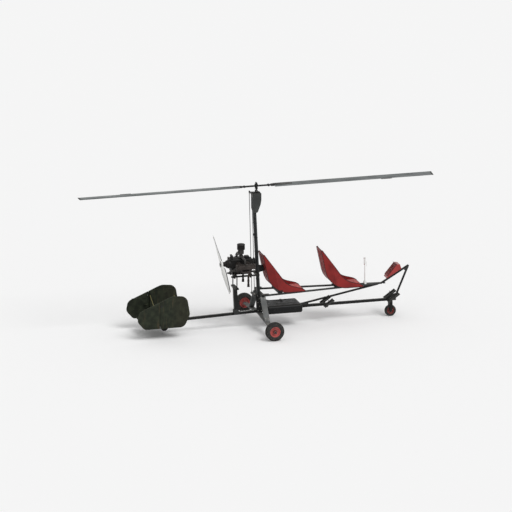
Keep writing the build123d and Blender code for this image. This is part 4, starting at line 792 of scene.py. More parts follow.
@dataclass
class Undercarriage:
    """The wheels, and the nuts, clamps and brackets of the axle, legs, fork and tail bracket."""

    axle: Point = (0.064, 1.120, 0.190)
    nose: Point = (2.800, 0.0, 0.115)
    tail: Point = (-1.910, 0.0, 0.130)

    def wheels(self) -> list[Wheel]:
        """The two main wheels and the nose wheel."""
        x, y, z = self.axle
        mains = [Wheel(f"main_{side.word}", f"wheel_{side.word}", f"tyre_{side.word}",
                       (x, side.value * y, z), side.value, 0.190, 0.120, (0.046, 0.105), 0.0085, 0.062,
                       (0.0255, 0.040), 0.046) for side in Side]
        return mains + [Wheel("nose", "nose_wheel", "nose_tyre", self.nose, -1, 0.115, 0.074,
                              (0.029, 0.072), 0.0055, 0.045, (0.0135, 0.0285), 0.029, 54, 0.003)]

    def build_axle_nuts(self) -> None:
        """Adds the castle nuts and split pins at the ends of the main axle."""
        nuts = Shape()
        x, y, z = self.axle
        for s in SIGNS:
            start, way = Vector((x, s * (y + 0.0475), z)), Y * s
            nuts.rod(start, start + way * 0.0085, 0.0205, 6)
            nuts.rod(start, start + way * 0.0115, 0.0135)
            nuts.rod(start + way * 0.0095 - X * 0.02, start + way * 0.0095 + X * 0.02, 0.0016, 8)
        nuts.piece("axle_nuts", Finishes.BLACK_BOLT, "gear_alloy")

    def build_leg_brackets(self) -> None:
        """Adds the folded plates that bolt each leg to the crossbar and to the axle beam."""
        plates, bolts = Shape(), Shape()
        axle_x = self.axle[0]
        for s in SIGNS:
            foot, head = Vector((axle_x, 0.580 * s, 0.2535)), Vector((axle_x, 0.250 * s, 0.675))
            run = (head - foot).normalized()
            outward = Vector((0, run.z * s, -run.y * s))
            for base, way, length in ((foot, run, 0.075), (head, -run, 0.07)):
                where = stand(base + outward * 0.0105, way)
                flat = where.to_3x3().inverted() @ outward
                low, high = Vector((-0.05, -0.05, 0.004)), Vector((0.05, 0.05, length))
                thick = 0 if abs(flat.x) > abs(flat.y) else 1
                low[thick], high[thick] = -0.0025, 0.0025
                plates.box(low, high, 0.0015, where)
                bolts.bolts(outward, 0.0065, 0.006, *(base + way * length * step + outward * 0.012 + X * x
                                                      for step, x in product((0.3, 0.75), (-0.032, 0.032))))
            bolts.bolts(Z, 0.0065, 0.006, *((axle_x + x, foot.y + y, 0.2560 - 0.085 * y * s)
                                            for x, y in product((-0.035, 0.035), (-0.042, 0.042))))
            bolts.bolts(-Z, 0.008, 0.009, *((axle_x + x, 0.036 * s, 0.2665) for x in (-0.036, 0.036)))
        plates.piece("leg_brackets", Finishes.GEAR_GREY, "gear_alloy")
        bolts.piece("gear_bolts", Finishes.BOLT, "gear_alloy")

    def build_fork_details(self) -> None:
        """Adds the axle nuts and bolts of the nose fork and the tail bracket, and the fork's gussets."""
        nuts, plates, bolts = Shape(), Shape(), Shape()
        (x, _, z), (tail_x, _, tail_z) = self.nose, self.tail
        for s in SIGNS:
            nuts.bolts(Y * s, 0.0125, 0.009, (x, s * 0.053, z))
            nuts.bolts(Y * s, 0.006, 0.005, *((x + step, s * 0.053, 0.258) for step in (-0.02, 0.02)))
            plates.block((x, s * 0.054, z + 0.0775), (0.019, 0.0015, 0.0475), 0.001)
            bolts.bolts(Y * s, 0.009, 0.007, (tail_x, s * 0.034, tail_z))
            bolts.bolts(Y * s, 0.006, 0.005,
                        *((tail_x + step, s * 0.034, 0.222) for step in (-0.028, 0.028)))
        nuts.rod((x, 0, 0.381), (x, 0, 0.3915), 0.0128, 6)
        nuts.piece("fork_nuts", Finishes.BLACK_BOLT, "gear_alloy", "nose_fork")
        plates.piece("fork_gussets", Finishes.BLACK_FRAME, "gear_alloy", "nose_fork")
        bolts.piece("tail_bracket_bolts", Finishes.BOLT, "stay_olive")

    def build(self) -> None:
        """Builds the undercarriage."""
        for wheel in self.wheels():
            wheel.build()
        self.build_axle_nuts()
        self.build_leg_brackets()
        self.build_fork_details()


@dataclass
class Frame:
    """Bolts, clamps and fittings of the keel, mast, rails, brace and nose."""

    boom_lean: float = math.radians(1.86)
    boom_height: float = 0.314
    keel_top: float = 0.350
    keel_half: float = 0.025
    mast_half: float = 0.030
    mast_foot: Point = (0.0353, 0.0, 0.876)
    mast_slope: float = math.tan(math.radians(2.81))
    rod_slope: float = math.tan(math.radians(1.45))

    def boom_z(self, x: float) -> float:
        """Height of the keel's centre line at x."""
        return min(self.boom_height + x * math.tan(self.boom_lean), self.keel_top)

    def mast_x(self, z: float) -> float:
        """The mast's centre line at height z."""
        return self.mast_foot[0] - (z - self.mast_foot[2]) * self.mast_slope

    def rail_y(self, x: float) -> float:
        """Distance of a seat rail from the middle at x."""
        return 0.270 * (2.610 - x) / (2.610 - 0.064)

    def build_doubler(self) -> None:
        """Covers the keel's doubler behind the mast with bare plate and its rows of bolts."""
        plate, bolts = Shape(), Shape()
        where = lean(self.boom_lean, (-0.200, 0.0, self.boom_z(-0.200) + self.keel_half))
        plate.block((0, 0, 0.0047), (0.151, 0.0256, 0.0045), 0.001, where)
        bolts.bolts(Z, 0.0055, 0.005, *(where @ Vector((-0.130 + 0.052 * step, y, 0.009))
                                        for step, y in product(range(6), (-0.014, 0.014))))
        plate.piece("keel_doubler", Finishes.DOUBLER, "bare_alloy")
        bolts.piece("doubler_bolts", Finishes.BLACK_BOLT, "bare_alloy")

    def build_bolts(self) -> None:
        """Adds the through bolts of the mast's cheek plates, the rails, the brace and the nose."""
        bright, dark = Shape(), Shape()
        for s in SIGNS:
            spots = [(step, z) for z in (0.330, 0.500, 0.640)
                     for step in ((-0.034, 0.034) if z < 0.4 else (-0.032, 0.032))]
            bright.bolts(Y * s, 0.0075, 0.007, *((self.mast_x(z) + step, s * 0.038, z)
                                                 for step, z in spots + [(0.0, 0.420), (0.0, 0.575)]))
            bright.bolts(Z, 0.005, 0.005, *((x, s * (self.rail_y(x) + step), 0.716)
                                            for x, step in product((0.115, 0.155), (-0.008, 0.008))))
            for y, size, height, places in (
                    (0.016, 0.006, 0.006, ((0.960, 0.404), (1.040, 0.4165))),
                    (0.010, 0.006, 0.006, ((2.520, 0.690), (2.455, 0.690), (2.390, 0.690))),
                    (0.016, 0.0055, 0.005, [(2.610 + 0.562 * share, 0.700 + 0.326 * share)
                                            for share in (0.06, 0.14, 0.88, 0.95)]),
                    (0.024, 0.0055, 0.005, ((2.758, 0.390), (2.850, 0.395), (2.852, 0.432), (2.898, 0.395),
                                            (2.920, 0.446))),
                    (0.038, 0.006, 0.006, ((-0.442, 0.374), (-0.402, 0.374), (-0.422, 0.354),
                                           (-0.452, 0.700), (-0.460, 0.780)))):
                dark.bolts(Y * s, size, height, *((x, s * y, z) for x, z in places))
        bright.piece("frame_bolts_bright", Finishes.BOLT, "frame_alloy")
        dark.piece("frame_bolts_dark", Finishes.BLACK_BOLT, "frame_alloy")

    def build_plates(self) -> None:
        """Adds the gusset plates of the crossbar, the brace's foot, the post's foot and the nose."""
        plates, post_z = Shape(), self.boom_z(-0.42)
        for s in SIGNS:
            plates.block((0.117, s * 0.268, 0.7265), (0.073, 0.045, 0.002), 0.001)
            plates.block((0.990, s * 0.0185, 0.384), (0.090, 0.0025, 0.028), 0.0015)
            plates.block((-0.427, s * 0.0395, post_z + 0.0315), (0.049, 0.002, 0.0535), 0.0015)
            plates.block((2.665, s * 0.0178, 0.701), (0.025, 0.0018, 0.013), 0.001)
            plates.bolts(Y * s, 0.006, 0.005, *((x, s * 0.0250, z) for x, z in
                                                ((0.060, 1.160), (0.060, 1.240), (0.110, 1.200))))
            plates.box((-0.085, -0.0018, -0.030), (0.014, 0.0018, 0.012), 0.001,
                       lean(math.radians(30.1), (3.150, s * 0.0178, 1.000)))
        plates.piece("frame_gussets", Finishes.RAILS, "frame_alloy")

    def build_clips(self) -> None:
        """Adds the conduits along the keel, mast and boom, with the bands that hold them."""
        bands = Shape()
        for x in (-1.95, -1.70, -1.20, -0.95, -0.70, 1.20, 1.75, 2.10, 2.45):
            bands.block((x, 0, self.boom_z(x)), (0.006, 0.0275, 0.0275), 0.001)
        for z in (0.98, 1.25, 1.55, 1.85, 2.15):
            bands.block((self.mast_x(z), 0, z), (0.0335, 0.0325, 0.006), 0.001)
        bands.piece("clip_bands", Finishes.CABLE, "frame_alloy")
        keel_runs = [[(x, s * 0.0305, self.boom_z(x) - 0.006)
                      for x in (2.690, 2.20, 1.20, 0.95, 0.30, -0.60, -1.20, -1.70)]
                     + [(-1.90, s * 0.060, 0.262), (-2.02, s * 0.160, 0.262)] for s in SIGNS]
        mast_runs = [[(self.mast_x(z) - 0.010 - 0.008 * lane, -0.0345, z) for z in (0.74, 1.2, 1.8, 2.28)]
                     for lane in (0, 1)]
        make_tubes("rudder_conduits", keel_runs, 0.0045, Finishes.CABLE, "frame_alloy")
        make_tubes("mast_conduits", mast_runs, 0.0035, Finishes.CABLE, "frame_alloy")

    def build_rod_guide(self) -> None:
        """Adds the clamp behind the mast and the push rods' ends."""
        guide, ends, z = Shape(), Shape(), 1.910
        back = self.mast_x(z) - self.mast_half
        guide.block((back - 0.008, 0, z), (0.012, 0.030, 0.018), 0.002)
        for s in SIGNS:
            guide.bolts(Y * s, 0.006, 0.005, (back - 0.010, s * 0.030, z))
            for low, high in ((0.690, 0.725), (2.715, 2.752)):
                x = -0.118 + (2.770 - low) * self.rod_slope
                ends.rod((x, s * 0.100, low), (x, s * 0.100, high), 0.0095, 6)
        guide.piece("rod_guide", Finishes.HEAD, "head_metal")
        ends.piece("push_rod_ends", Finishes.BOLT, "head_metal")

    def build_tie_down_sleeves(self) -> None:
        """Adds the flanged sleeves round the keel's two tie-down holes."""
        sleeves = Shape()
        for x, s in product((2.893, -1.450), SIGNS):
            sleeves.turned((x, s * self.keel_half, self.boom_z(x)), Y * s,
                           [(-0.001, 0.0085), (-0.001, 0.016), (0.002, 0.016), (0.004, 0.0125),
                            (0.004, 0.0085)], 28, closed=True)
        sleeves.piece("tie_down_sleeves", Finishes.BOLT, "frame_alloy")

    def build_welds(self) -> None:
        """Adds the weld beads where the engine post's head bar and the nose tubes join."""
        runs = [[(x, s * y, z) for x, y, z in run] for s in SIGNS for run in (
            [(x, 0.0385, 0.8295) for x in (-0.500, -0.480, -0.450)],
            [(x, 0.0245, 0.3765) for x in (2.830, 2.865, 2.895)],
            [(3.128, 0.0165, 0.983), (3.140, 0.0172, 0.990), (3.150, 0.0165, 0.980)],
            [(0.090, 0.2500, 0.6985), (0.0905, 0.2700, 0.6985), (0.090, 0.2860, 0.6985)])]
        make_tubes("weld_beads", runs, 0.003, Finishes.WELD, "frame_alloy")

    def build(self) -> None:
        """Builds the frame's fittings."""
        self.build_doubler()
        self.build_bolts()
        self.build_plates()
        self.build_clips()
        self.build_rod_guide()
        self.build_tie_down_sleeves()
        self.build_welds()


@dataclass
class Tank:
    """The fuel tank's straps, filler neck, vent and moulded ribs."""

    start_x: float = 0.150
    end_x: float = 0.896
    half_width: float = 0.265
    bottom: float = 0.290
    top: float = 0.455
    corner: float = 0.040

    def build_straps(self) -> None:
        """Adds two metal straps round the tank, each with its buckles."""
        straps, buckles = Shape(), Shape()
        half = (0.014, self.half_width + 0.002, (self.top - self.bottom) / 2 + 0.002)
        for x in (0.300, 0.740):
            old = set(straps.bm.edges)
            straps.block((x, 0, (self.top + self.bottom) / 2), half)
            straps.bevel([edge for edge in straps.bm.edges if edge not in old
                          and abs(edge.verts[0].co.x - edge.verts[1].co.x) > 0.01], self.corner + 0.002, 8)
            for s in SIGNS:
                buckles.block((x, s * half[1], 0.377), (0.018, 0.004, 0.015), 0.0015)
                buckles.bolts(Y * s, 0.005, 0.005, (x, s * (half[1] + 0.004), 0.377))
        straps.piece("tank_straps", Finishes.TANK, "bare_alloy")
        buckles.piece("tank_buckles", Finishes.BLACK_BOLT, "bare_alloy")

    def build_filler(self) -> None:
        """Adds the filler neck with its ribbed cap, and the vent."""
        neck, cap = Shape(), Shape()
        at = (0.560, 0.190, self.top - 0.002)
        neck.turned(at, Z, [(0, 0.0), (0, 0.040), (0.003, 0.040), (0.004, 0.034), (0.005, 0.034),
                            (0.005, 0.0)], 40)
        neck.piece("filler_neck", Finishes.TANK, "tank_plastic")
        cap.turned(at, Z, [(0.004, 0.0), (0.004, 0.031), (0.010, 0.031), (0.012, 0.028), (0.012, 0.012),
                           (0.010, 0.010), (0.010, 0.0)])
        walls = [face for face in cap.bm.faces if abs(face.normal.z) < 0.2 and face.calc_area() > 1.5e-5]
        bmesh.ops.inset_individual(cap.bm, faces=walls[::2], thickness=0.0006, depth=-0.0014)
        cap.piece("filler_cap", Finishes.HARD_RUBBER, "tank_plastic")
        vent = [(x, 0.190, self.top + rise)
                for x, rise in ((0.640, -0.010), (0.640, 0.004), (0.652, 0.007), (0.690, 0.005))]
        make_tubes("tank_vent", [vent], 0.005, Finishes.BLACK_BOLT, "bare_alloy")

    def build_ribs(self) -> None:
        """Adds the long moulded ribs on both sides, the ends and the top."""
        ribs = Shape()
        middle, half = (self.start_x + self.end_x) / 2, (self.end_x - self.start_x) / 2 - 0.055
        for s in SIGNS:
            for z in (0.345, 0.400):
                ribs.block((middle, s * self.half_width, z), (half, 0.003, 0.006), 0.0025)
            for y in (0.070, 0.205):
                ribs.block((middle, s * y, self.top), (half, 0.007, 0.003), 0.0025)
        for x, y in product((self.start_x, self.end_x), (-0.11, 0.11)):
            ribs.block((x, y, (self.bottom + self.top) / 2),
                       (0.003, 0.007, (self.top - self.bottom) / 2 - 0.05), 0.002)
        ribs.piece("tank_ribs", Finishes.TANK, "tank_plastic")

    def build(self) -> None:
        """Builds the tank's fittings."""
        self.build_straps()
        self.build_filler()
        self.build_ribs()


@dataclass
class Seat:
    """One bucket seat: its shell's edge beads and fixings, and the quilted pad inside it."""

    place: str
    place_x: float
    base_z: float = 0.716
    corner_x: float = -0.148
    lean: float = math.radians(12.2)
    bend: float = 0.440
    back_height: float = 0.800
    length: float = 0.541
    back_half: float = 0.165
    base_half: float = 0.240
    flare: float = 0.150
    channel_pitch: float = 0.095
    channel_depth: float = 0.008

    def __post_init__(self) -> None:
        """Works out the corner, the bend's centre and the lengths along the seat's side line."""
        self.tangent = self.bend / math.tan((math.pi / 2 + self.lean) / 2)
        self.back_run = self.back_height / math.cos(self.lean) - self.tangent
        self.bend_end = self.back_run + self.bend * (math.pi / 2 - self.lean)
        self.whole_run = self.bend_end + self.length - self.corner_x - self.tangent
        self.corner = Vector((self.place_x + self.corner_x, 0, self.base_z))
        self.centre = self.corner + Vector((self.tangent, 0, self.bend))
        self.up = Vector((-math.sin(self.lean), 0, math.cos(self.lean)))
        self.inward = Vector((math.cos(self.lean), 0, math.sin(self.lean)))

    def spot(self, run: float, inset: float) -> Vector:
        """A point of the seat's side line, in the middle plane.

        Args:
            run: The distance from the back's top, down and then forward along the shell.
            inset: The distance in from the shell's outer face.

        Returns:
            The point.
        """
        if run <= self.back_run:
            return self.corner + self.up * (self.tangent + self.back_run - run) + self.inward * inset
        if run <= self.bend_end:
            angle = math.pi + self.lean + (run - self.back_run) / self.bend
            return self.centre + (X * math.cos(angle) + Z * math.sin(angle)) * (self.bend - inset)
        return self.corner + X * (self.tangent + run - self.bend_end) + Z * inset

    def half_width(self, point: Vector) -> float:
        """Half the shell's width at a point of the side view."""
        ahead = (point - self.corner).dot(self.inward)
        return self.back_half + (self.base_half - self.back_half) * min(max(ahead / self.flare, 0), 1)

    def run_of(self, point: Vector) -> float:
        """The distance along the shell's line that a point lies beside."""
        local = point - self.corner
        if local.x >= self.tangent:
            return self.bend_end + local.x - self.tangent
        if local.dot(self.up) >= self.tangent:
            return self.back_run + self.tangent - local.dot(self.up)
        angle = math.atan2(local.z - self.bend, local.x - self.tangent) % math.tau
        return self.back_run + (angle - math.pi - self.lean) * self.bend

    def wing_line(self) -> list[Vector]:
        """Points along the wing's upper edge, from the back's top to the front lip."""
        top = self.spot(0, 0) + X * 0.024
        knee, front, lip = (Vector((self.place_x + x, 0, self.base_z + z))
                            for x, z in ((0.170, 0.150), (0.475, 0.064), (self.length, 0.022)))
        into, out, radius = (top - knee).normalized(), (front - knee).normalized(), 0.430
        reach = radius / math.tan(into.angle(out) / 2)
        start, end = knee + into * reach, knee + out * reach
        centre = knee + (into + out).normalized() * math.hypot(reach, radius)
        arm, sweep = start - centre, (start - centre).angle(end - centre)
        turn = 1 if arm.cross(end - centre).y > 0 else -1
        bend = [centre + Matrix.Rotation(turn * sweep * step / 12, 3, "Y") @ arm for step in range(13)]
        return [top, top.lerp(start, 0.5), *bend, end.lerp(front, 0.5), end.lerp(front, 0.92),
                front.lerp(lip, 0.2), lip]

    def build_beads(self) -> None:
        """Adds the dark beads along the wings, the back's edges, its top and the front lip."""
        rear = [self.spot(self.whole_run * step / 30, 0.004) for step in range(31)]
        lines = ((self.wing_line(), 0.004, 0.001), (rear, 0.002, 0.0))
        runs = [[(p.x, s * (self.half_width(p) - inset), p.z + rise) for p in line]
                for s, (line, inset, rise) in product(SIGNS, lines)]
        for point, half in ((self.spot(0, 0.010), 0.165), (self.spot(self.whole_run, 0.012), 0.238)):
            runs.append([(point.x, half * share, point.z) for share in (-1.0, -0.5, 0.0, 0.5, 1.0)])
        make_tubes(f"{self.place}_seat_beads", runs, 0.0075, Finishes.PIPING, "seat_shell")

    def build_fixings(self) -> None:
        """Adds the screws through the shell's back, and the stiffening ribs behind it."""
        screws, ribs = Shape(), Shape()
        screws.bolts(Vector((-1, 0, -0.2)), 0.006, 0.005, *(self.spot(run, 0) + Y * y for run, y in
                                                            product((0.10, 0.34), (-0.10, 0.10))))
        low, high = self.spot(0.50, 0.001), self.spot(0.04, 0.001)
        for y in (-0.055, 0.055):
            where = stand(low + Y * y, high - low)
            flat = where.to_3x3().inverted() @ -X
            half = Vector((0.012, 0.012, (high - low).length / 2))
            middle = Vector((0, 0, half.z))
            thick = 0 if abs(flat.x) > abs(flat.y) else 1
            middle[thick], half[thick] = 0.0045 * flat[thick], 0.0045 * abs(flat[thick])
            ribs.block(middle, half, 0.003, where)
        screws.piece(f"{self.place}_seat_screws", Finishes.BOLT, "seat_shell")
        ribs.piece(f"{self.place}_seat_ribs", Finishes.SEAT, "seat_shell")

    def pad_mesh(self, source: bpy.types.Mesh) -> bpy.types.Mesh:
        """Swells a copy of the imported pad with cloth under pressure, then sews its channels.

        Args:
            source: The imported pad's mesh.

        Returns:
            The finished pad's mesh.
        """
        bm = bmesh.new()
        bm.from_mesh(source)
        bmesh.ops.remove_doubles(bm, verts=bm.verts, dist=1e-4)
        bmesh.ops.recalc_face_normals(bm, faces=bm.faces)
        bm.normal_update()
        for vert in bm.verts:
            vert.co -= vert.normal * 0.004
        mesh = bpy.data.meshes.new(f"{self.place}_pad")
        bm.to_mesh(mesh)
        bm.free()
        pad = bpy.data.objects.new(f"{self.place}_pad_work", mesh)
        scene = bpy.context.scene
        scene.collection.objects.link(pad)
        remesh = pad.modifiers.new("cells", "REMESH")
        remesh.mode, remesh.voxel_size = "VOXEL", 0.0075
        self.apply(pad)
        rest = [(vert.co.copy(), vert.normal.copy()) for vert in pad.data.vertices]
        cloth = pad.modifiers.new("filling", "CLOTH").settings
        cloth.use_pressure, cloth.uniform_pressure_force = True, 4.0
        cloth.effector_weights.gravity = 0.0
        for step in range(1, 21):
            scene.frame_set(step)
        self.apply(pad)
        scene.frame_set(1)
        for vert, (start, normal) in zip(pad.data.vertices, rest):
            away = (start - self.centre) * Vector((1, 0, 1))
            limit = 0.0035 if normal.dot(away.normalized()) > 0.25 else 0.013
            step = vert.co - start
            vert.co = start + (step.normalized() * min(step.length, limit) if step.length else step)
        smooth = pad.modifiers.new("smooth", "SUBSURF")
        smooth.levels = smooth.render_levels = 1
        self.apply(pad)
        made = pad.data
        self.sew(made)
        bpy.data.objects.remove(pad)
        return made

    @staticmethod
    def apply(obj: bpy.types.Object) -> None:
        """Applies an object's modifiers."""
        graph = bpy.context.evaluated_depsgraph_get()
        obj.data = bpy.data.meshes.new_from_object(obj.evaluated_get(graph))
        obj.modifiers.clear()

    def sew(self, mesh: bpy.types.Mesh) -> None:
        """Presses the sewn channels across the pad and the seam inside its border."""
        normals = [vert.normal.copy() for vert in mesh.vertices]
        for vert, normal in zip(mesh.vertices, normals):
            run = self.run_of(vert.co)
            inside = Z if run > self.bend_end else (self.centre - vert.co) * Vector((1, 0, 1))
            facing = max(normal.dot(inside.normalized()), 0.0)
            border = self.half_width(vert.co) - 0.042 - abs(vert.co.y)
            off = abs((run - 0.06) % self.channel_pitch - self.channel_pitch / 2)
            across = math.exp(-((off / 0.007) ** 2)) * min(max((border - 0.040) / 0.012, 0), 1)
            around = math.exp(-(((border - 0.040) / 0.006) ** 2))
            vert.co -= normal * facing * self.channel_depth * max(across, around)

    def build(self, frame: dict, shared: bpy.types.Mesh | None = None) -> bpy.types.Mesh:
        """Builds the seat's pieces.

        Args:
            frame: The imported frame.
            shared: The other seat's pad, if it is made, to be used again.

        Returns:
            This seat's pad, in its own place.
        """
        self.build_beads()
        self.build_fixings()
        node = f"{self.place}_cushion"
        mesh = shared or self.pad_mesh(frame["nodes"][node].data)
        pad = make_piece(f"{self.place}_pad", mesh, Finishes.PAD, "seat_cloth", sharp=60.0)
        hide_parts(node)
        return mesh


@dataclass
class Engine:
    """The open engine's bolts, plugs, covers, pipes and small drives."""

    crank_z: float = 1.338
    barrel_xs: tuple[float, float] = (-0.220, -0.400)
    head_outer_y: float = 0.345
    rocker_outer_y: float = 0.380
    port_y: float = 0.305
    case_xs: tuple[float, float] = (-0.540, -0.110)
    gearbox_x: float = -0.628
    foot_xs: tuple[float, float] = (-0.492, -0.158)
    foot_y: float = 0.150
    case_top: float = 1.440
    bed_top: float = 1.120
    bush_z: float = 1.086
    filler: Point = (-0.516, 0.0425, 1.505)
    starter: Point = (-0.530, -0.122, 1.226)
    oil_filter: Point = (-0.180, 0.118, 1.226)
    fuel_pump: Point = (-0.165, 0.095, 1.300)
    hose_z: float = 1.478
    exhaust_flange_z: float = 1.280
    exhaust_y: float = 0.198
    filter_x: float = -0.318
    filter_bottom: float = 1.620
    filter_top: float = 1.732

    def build_heads(self) -> None:
        """Adds the rocker cover bolts and ribs, the spark plugs with their caps, and head nuts."""
        bolts, plugs, caps, ribs = Shape(), Shape(), Shape(), Shape()
        for s in SIGNS:
            bolts.bolts(Y * s, 0.0055, 0.008, *(
                (x + step_x, s * (self.rocker_outer_y - 0.010), self.crank_z + step_z)
                for x, step_x, step_z in product(self.barrel_xs, (-0.054, 0.054), (-0.024, 0.024))))
            bolts.bolts(Y * s, 0.006, 0.006, *((x, s * self.head_outer_y, self.crank_z - 0.036)
                                               for x in (-0.150, -0.290, -0.330, -0.470)))
            for step in (-0.018, 0.0, 0.018):
                ribs.block((-0.310, s * self.rocker_outer_y, self.crank_z + step),
                           (0.160, 0.0025, 0.003), 0.0015)
            way = (Y * s + Z * 0.35).normalized()
            for x in (-0.142, -0.298, -0.322, -0.478):
                start = Vector((x, s * (self.head_outer_y - 0.004), self.crank_z + 0.010))
                plugs.rod(start, start + way * 0.014, 0.0095, 6)
                plugs.rod(start + way * 0.014, start + way * 0.028, 0.0055, 14)
                caps.rod(start + way * 0.024, start + way * 0.052, 0.0085, 14, 0.0065)
                caps.rod(start + way * 0.046, start + way * 0.046 + Z * 0.018, 0.0062, 12)
        bolts.piece("head_bolts", Finishes.BOLT, "engine_cast")
        plugs.piece("spark_plugs", Finishes.BOLT, "bare_alloy")
        caps.piece("plug_caps", Finishes.HARD_RUBBER, "tyre_rubber")
        ribs.piece("rocker_ribs", Finishes.HEADS, "engine_cast")

    def build_case(self) -> None:
        """Adds the crankcase's split flange, ribs and bolts, and the fillers' handles."""
        cast, bolts, knobs = Shape(), Shape(), Shape()
        (rear, front), top, (x_filler, y_filler, z_filler) = self.case_xs, self.case_top, self.filler
        cast.box((rear + 0.004, -0.006, top - 0.004), (front - 0.004, 0.006, top + 0.010), 0.002)
        for x in (-0.500, -0.455, -0.250, -0.200, -0.150):
            cast.block((x, 0, top + 0.001), (0.005, 0.070, 0.005), 0.002)
            bolts.bolts(Z, 0.005, 0.005, (x + 0.020, 0.0, top + 0.010))
        bolts.bolts(-X, 0.0055, 0.006, *circle(rear - 0.045, self.crank_z, 0.080, 8, 0.2))
        bolts.bolts(-X, 0.0045, 0.005, *circle(self.gearbox_x, self.crank_z, 0.063, 8, 0.2))
        for s in SIGNS:
            for x in (-0.480, -0.420, -0.360, -0.300, -0.240, -0.180):
                cast.block((x, s * 0.060, 1.155), (0.004, 0.004, 0.031), 0.002)
                bolts.bolts(Y * s, 0.005, 0.005, (x + 0.012, s * 0.062, 1.142))
            bolts.bolts(Z, 0.008, 0.009,
                        *((x, s * self.foot_y, self.bed_top + 0.025) for x in self.foot_xs))
            knobs.turned((x_filler, s * y_filler, z_filler), Z,
                         [(-0.004, 0.0), (-0.004, 0.021), (0.004, 0.022), (0.009, 0.018), (0.009, 0.0)], 28)
            knobs.block((x_filler, s * y_filler, z_filler + 0.013), (0.022, 0.004, 0.006), 0.003)
        cast.turned((-0.0575, 0, self.crank_z), X,
                    [(0, 0.0), (0, 0.092), (0.004, 0.096), (0.013, 0.096), (0.017, 0.092), (0.017, 0.060),
                     (0.012, 0.055), (0.012, 0.0)], 60)
        cast.piece("case_ribs", Finishes.ENGINE, "engine_case")
        bolts.piece("case_bolts", Finishes.BOLT, "engine_case")
        knobs.piece("filler_knobs", Finishes.HARD_RUBBER, "engine_case")

    def build_drives(self) -> None:
        """Adds the starter, the oil filter, the fuel pump and the ignition box."""
        metal, dark = Shape(), Shape()
        solenoid, pump = Vector(self.starter) + Z * 0.036, Vector(self.fuel_pump)
        metal.turned(self.starter, X,
                     [(0, 0.0), (0, 0.022), (0.018, 0.024), (0.022, 0.034), (0.120, 0.034), (0.124, 0.030),
                      (0.150, 0.030), (0.154, 0.024), (0.154, 0.0)], 36)
        metal.rod(solenoid + X * 0.040, solenoid + X * 0.110, 0.015)
        metal.rod(pump, pump + Y * 0.040, 0.022, 24)
        metal.rod(pump + Y * 0.035, pump + Y * 0.047, 0.014, 24)
        dark.turned(self.oil_filter, (0, 0.6, -0.35),
                    [(-0.040, 0.0), (-0.040, 0.030), (0.030, 0.036), (0.070, 0.036), (0.078, 0.030),
                     (0.078, 0.0)], 36)
        dark.box((-0.300, -0.055, 1.442), (-0.268, 0.055, 1.4425))
        dark.block((-0.203, 0, self.case_top + 0.026), (0.043, 0.045, 0.022), 0.006)
        metal.piece("engine_drives", Finishes.MACHINED, "engine_cast")
        dark.piece("engine_boxes", Finishes.PANEL, "engine_case")

    def build_intake(self) -> None:
        """Adds the filter's end caps and clamp, the carburettor's lever, bolts and hose clamps."""
        caps, clamps = Shape(), Shape()
        at, middle, top, low = (self.filter_x, 0, 0), self.filter_x, self.filter_top, self.filter_bottom
        caps.turned(at, Z, [(top - 0.016, 0.079), (top - 0.004, 0.0795), (top - 0.0005, 0.074),
                            (top - 0.0005, 0.052), (top - 0.006, 0.046), (top - 0.006, 0.0)], 64)
        caps.turned(at, Z, [(low + 0.016, 0.079), (low + 0.004, 0.0795), (low - 0.002, 0.070),
                            (low - 0.002, 0.034), (low - 0.024, 0.034), (low - 0.024, 0.026)], 64)
        clamps.turned(at, Z, [(low - 0.020, 0.034), (low - 0.020, 0.0365), (low - 0.008, 0.0365),
                              (low - 0.008, 0.034)], closed=True)
        clamps.bolts(Z, 0.008, 0.010, (middle, 0, top - 0.006))
        clamps.block((middle, -0.040, low - 0.014), (0.008, 0.006, 0.007), 0.002)
        for s in SIGNS:
            for y in (0.052, 0.232):
                clamps.turned((middle, s * y, self.hose_z), Y,
                              [(-0.006, 0.0195), (-0.006, 0.0225), (0.006, 0.0225), (0.006, 0.0195)],
                              32, closed=True)
            clamps.block((middle, s * self.port_y, 1.378), (0.034, 0.020, 0.0035), 0.002)
            clamps.bolts(Z, 0.0055, 0.006, *((middle + step, s * self.port_y, 1.3815)
                                             for step in (-0.026, 0.026)))
            clamps.bolts(X * s, 0.006, 0.005, (middle + 0.036 * s, 0.0, self.hose_z))
        clamps.box((-0.3785, -0.004, 1.560), (-0.3735, 0.030, 1.600), 0.001)
        clamps.rod((-0.3735, 0.024, 1.594), (-0.3735, 0.024, 1.500), 0.0022, 8)
        clamps.bolts(-X, 0.004, 0.004, (-0.374, -0.024, 1.555), (-0.374, 0.024, 1.555))
        caps.piece("filter_caps", Finishes.HARD_RUBBER, "filter_mesh")
        clamps.piece("intake_clamps", Finishes.BOLT, "engine_cast")

    def build_exhaust(self) -> None:
        """Adds the port flanges with their nuts, the joint collars and the flared tips."""
        steel, nuts = Shape(), Shape()
        for s in SIGNS:
            for x in self.barrel_xs:
                steel.block((x, s * self.port_y, self.exhaust_flange_z + 0.00475),
                            (0.040, 0.026, 0.00475), 0.003)
                nuts.bolts(-Z, 0.0055, 0.007, *((x + step, s * self.port_y, self.exhaust_flange_z)
                                                for step in (-0.031, 0.031)))
            for profile in ([(1.000, 0.0195), (1.000, 0.0235), (1.030, 0.0235), (1.030, 0.0195)],
                            [(0.8905, 0.0215), (0.8905, 0.0265), (0.950, 0.0225), (0.950, 0.0195)]):
                steel.turned((self.barrel_xs[0], s * self.exhaust_y, 0), Z, profile, 36, closed=True)
        steel.piece("exhaust_collars", Finishes.EXHAUST, "exhaust_steel")
        nuts.piece("exhaust_nuts", Finishes.BLACK_BOLT, "exhaust_steel")

